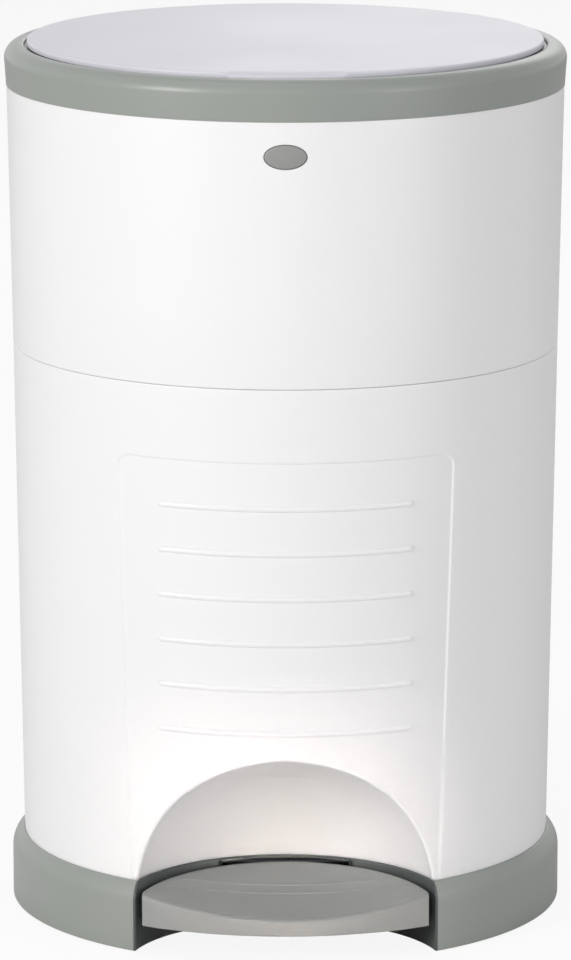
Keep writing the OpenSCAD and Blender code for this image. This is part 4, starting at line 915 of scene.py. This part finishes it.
# ---- lid seal, bumpers and feet
# Black rubber: a moulded ring under the lid, two small stops on the rim's ledge and four feet
# under the base, all with a dull, slightly dusty skin.
rubber = surface("Rubber_black_matt", "rubber", "#2e2f31", 0.72, grain=0.7, depth=0.012, drift=0.03)
seal = turned(softened([(136, 568.2, 1.6), (143, 568.2, 1.6), (143, 574.2, 0.6), (136, 574.2, 0.6)], 5), 200)
placed("lid_seal_ring", seal, "lid", rubber, "lid_seal")
placed("rim_stops", rounded("rim_bumpers", 0.25), "top_section", rubber, "rim_bumpers")
placed("foot_pads", rounded("rubber_feet", 0.5), "bin_body", rubber, "rubber_feet")

# ---- steel parts and rod guides
# The pedal's lever, the push rods, the strike and the pins are zinc-plated mild steel, with a
# soft grey shine and faint cloudy patches. The springs are bright drawn wire. The rods run in
# small white mouldings.
steel = {"depth": 0.004, "drift": 0.05, "cloud": 4.0, "swing": (-0.06, 0.08), "grain": 1000 / 1400,
         "drawn": 0.06, "lift": 0.4, "shine": {"Metallic": 1.0}}
plated_steel = surface("Steel_zinc_plated", "steel", "#b4b8bd", 0.34, patch=6.0, **steel)
drawn_steel = surface("Steel_drawn_wire", "steel", "#a7abb0", 0.26, patch=2.0, **steel)
for node, name, body, width, material in (
        ("pedal_lever", "lever_plate", "pedal", 0.6, plated_steel),
        ("strike_bracket", "strike_plate", "bin_body", 0.3, plated_steel),
        ("lower_pushrod", "push_rod_lower", "lower_rod", 0.3, plated_steel),
        ("upper_pushrod", "push_rod_upper", "upper_rod", 0.3, plated_steel),
        ("lower_rod_guides", "lower_rod_guides_moulding", "bin_body", 0.5, inner_plastic),
        ("rod_cover", "rod_cover_moulding", "bin_body", 0.5, inner_plastic),
        ("upper_rod_guide", "upper_rod_guide_moulding", "top_section", 0.5, inner_plastic)):
    placed(name, rounded(node, width), body, material, node)
for material, nodes in (
        (plated_steel, ("pedal_pin", "body_hinge_pin", "lid_pin", "trap_pins", "latch_pin", "cutter_blade")),
        (drawn_steel, ("pedal_spring", "trap_springs", "latch_spring"))):
    for node in nodes:
        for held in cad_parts[node].material_slots:
            held.material = material

# ---- screws
# Pan-head screws of zinc-plated steel with a cross recess. They fix the base, the pedal's
# lever, the strike, the hopper and the trap ring.
tree, given = tree_of("Pan_head_screws", {
    "Head radius": "Float", "Head height": "Float", "Shank radius": "Float", "Length": "Float",
    "Recess": "Float", "Turn": "Rotation", "Material": "Material"})
head = add(tree, "GeometryNodeMeshUVSphere", {"Segments": 32, "Rings": 20, "Radius": 1.0})
size = add(tree, "ShaderNodeCombineXYZ", {
    "X": given["Head radius"], "Y": given["Head radius"], "Z": given["Head height"]})
head = add(tree, "GeometryNodeTransform", {"Geometry": head, "Scale": size})
block = add(tree, "GeometryNodeMeshCube", {"Size": (0.02, 0.02, 0.02)})
cutters = [add(tree, "GeometryNodeTransform", {"Geometry": block, "Translation": (0, 0, 0.01)})]
cross = add(tree, "ShaderNodeCombineXYZ", {
    "X": given["Recess"], "Y": given["Recess"], "Z": given["Head height"]})
down = add(tree, "ShaderNodeVectorMath", {0: cross, 1: (0, 0, -0.95)}, operation="MULTIPLY")
for share in ((1.0, 0.2, 1.0), (0.2, 1.0, 1.0)):
    span = add(tree, "ShaderNodeVectorMath", {0: cross, 1: share}, operation="MULTIPLY")
    slot = add(tree, "GeometryNodeMeshCube", {"Size": span})
    cutters.append(add(tree, "GeometryNodeTransform", {"Geometry": slot, "Translation": down}))
for cutter in cutters:
    head = add(tree, "GeometryNodeMeshBoolean", {"Mesh 1": head, "Mesh 2": cutter},
               operation="DIFFERENCE", solver="EXACT")
shank = add(tree, "GeometryNodeMeshCylinder", {
    "Vertices": 24, "Radius": given["Shank radius"], "Depth": given["Length"]})
tall = add(tree, "ShaderNodeCombineXYZ", {"Z": given["Length"]})
up = add(tree, "ShaderNodeVectorMath", {0: tall, 1: (0, 0, 0.5), 2: (0, 0, -0.0002)},
         operation="MULTIPLY_ADD")
shank = add(tree, "GeometryNodeTransform", {"Geometry": shank, "Translation": up})
both = add(tree, "GeometryNodeJoinGeometry", {"Geometry": head})
tree.links.new(shank.outputs[0], both.inputs[0])
both = add(tree, "GeometryNodeInstanceOnPoints", {
    "Points": given["Geometry"], "Instance": both, "Rotation": given["Turn"]})
close_tree(tree, both, given["Material"])

for node, name, body, places, length, turn in (
        ("base_screws", "screws_base", "bin_body", round_places(150, base_screw_turns, 40.8), 11, 0),
        ("lever_screws", "screws_lever", "pedal", [(-22, -70.1, 22), (22, -70.1, 22)], 12, 0),
        ("strike_screws", "screws_strike", "bin_body", [(-27, -162.5, 360), (27, -162.5, 360)], 9.5, 90),
        ("hopper_screws", "screws_hopper", "top_section", round_places(165, diagonals, 546), 13, 0),
        ("trap_screws", "screws_trap", "top_section", round_places(105, diagonals, 469), 9, 0)):
    screws = from_tree(tree, {
        "Head radius": 0.004, "Head height": 0.0025, "Shank radius": 0.00195, "Length": length / 1000,
        "Recess": 0.0044, "Turn": (math.radians(turn), 0.0, 0.0), "Material": plated_steel}, wire(places))
    placed(name, screws, body, plated_steel, node)
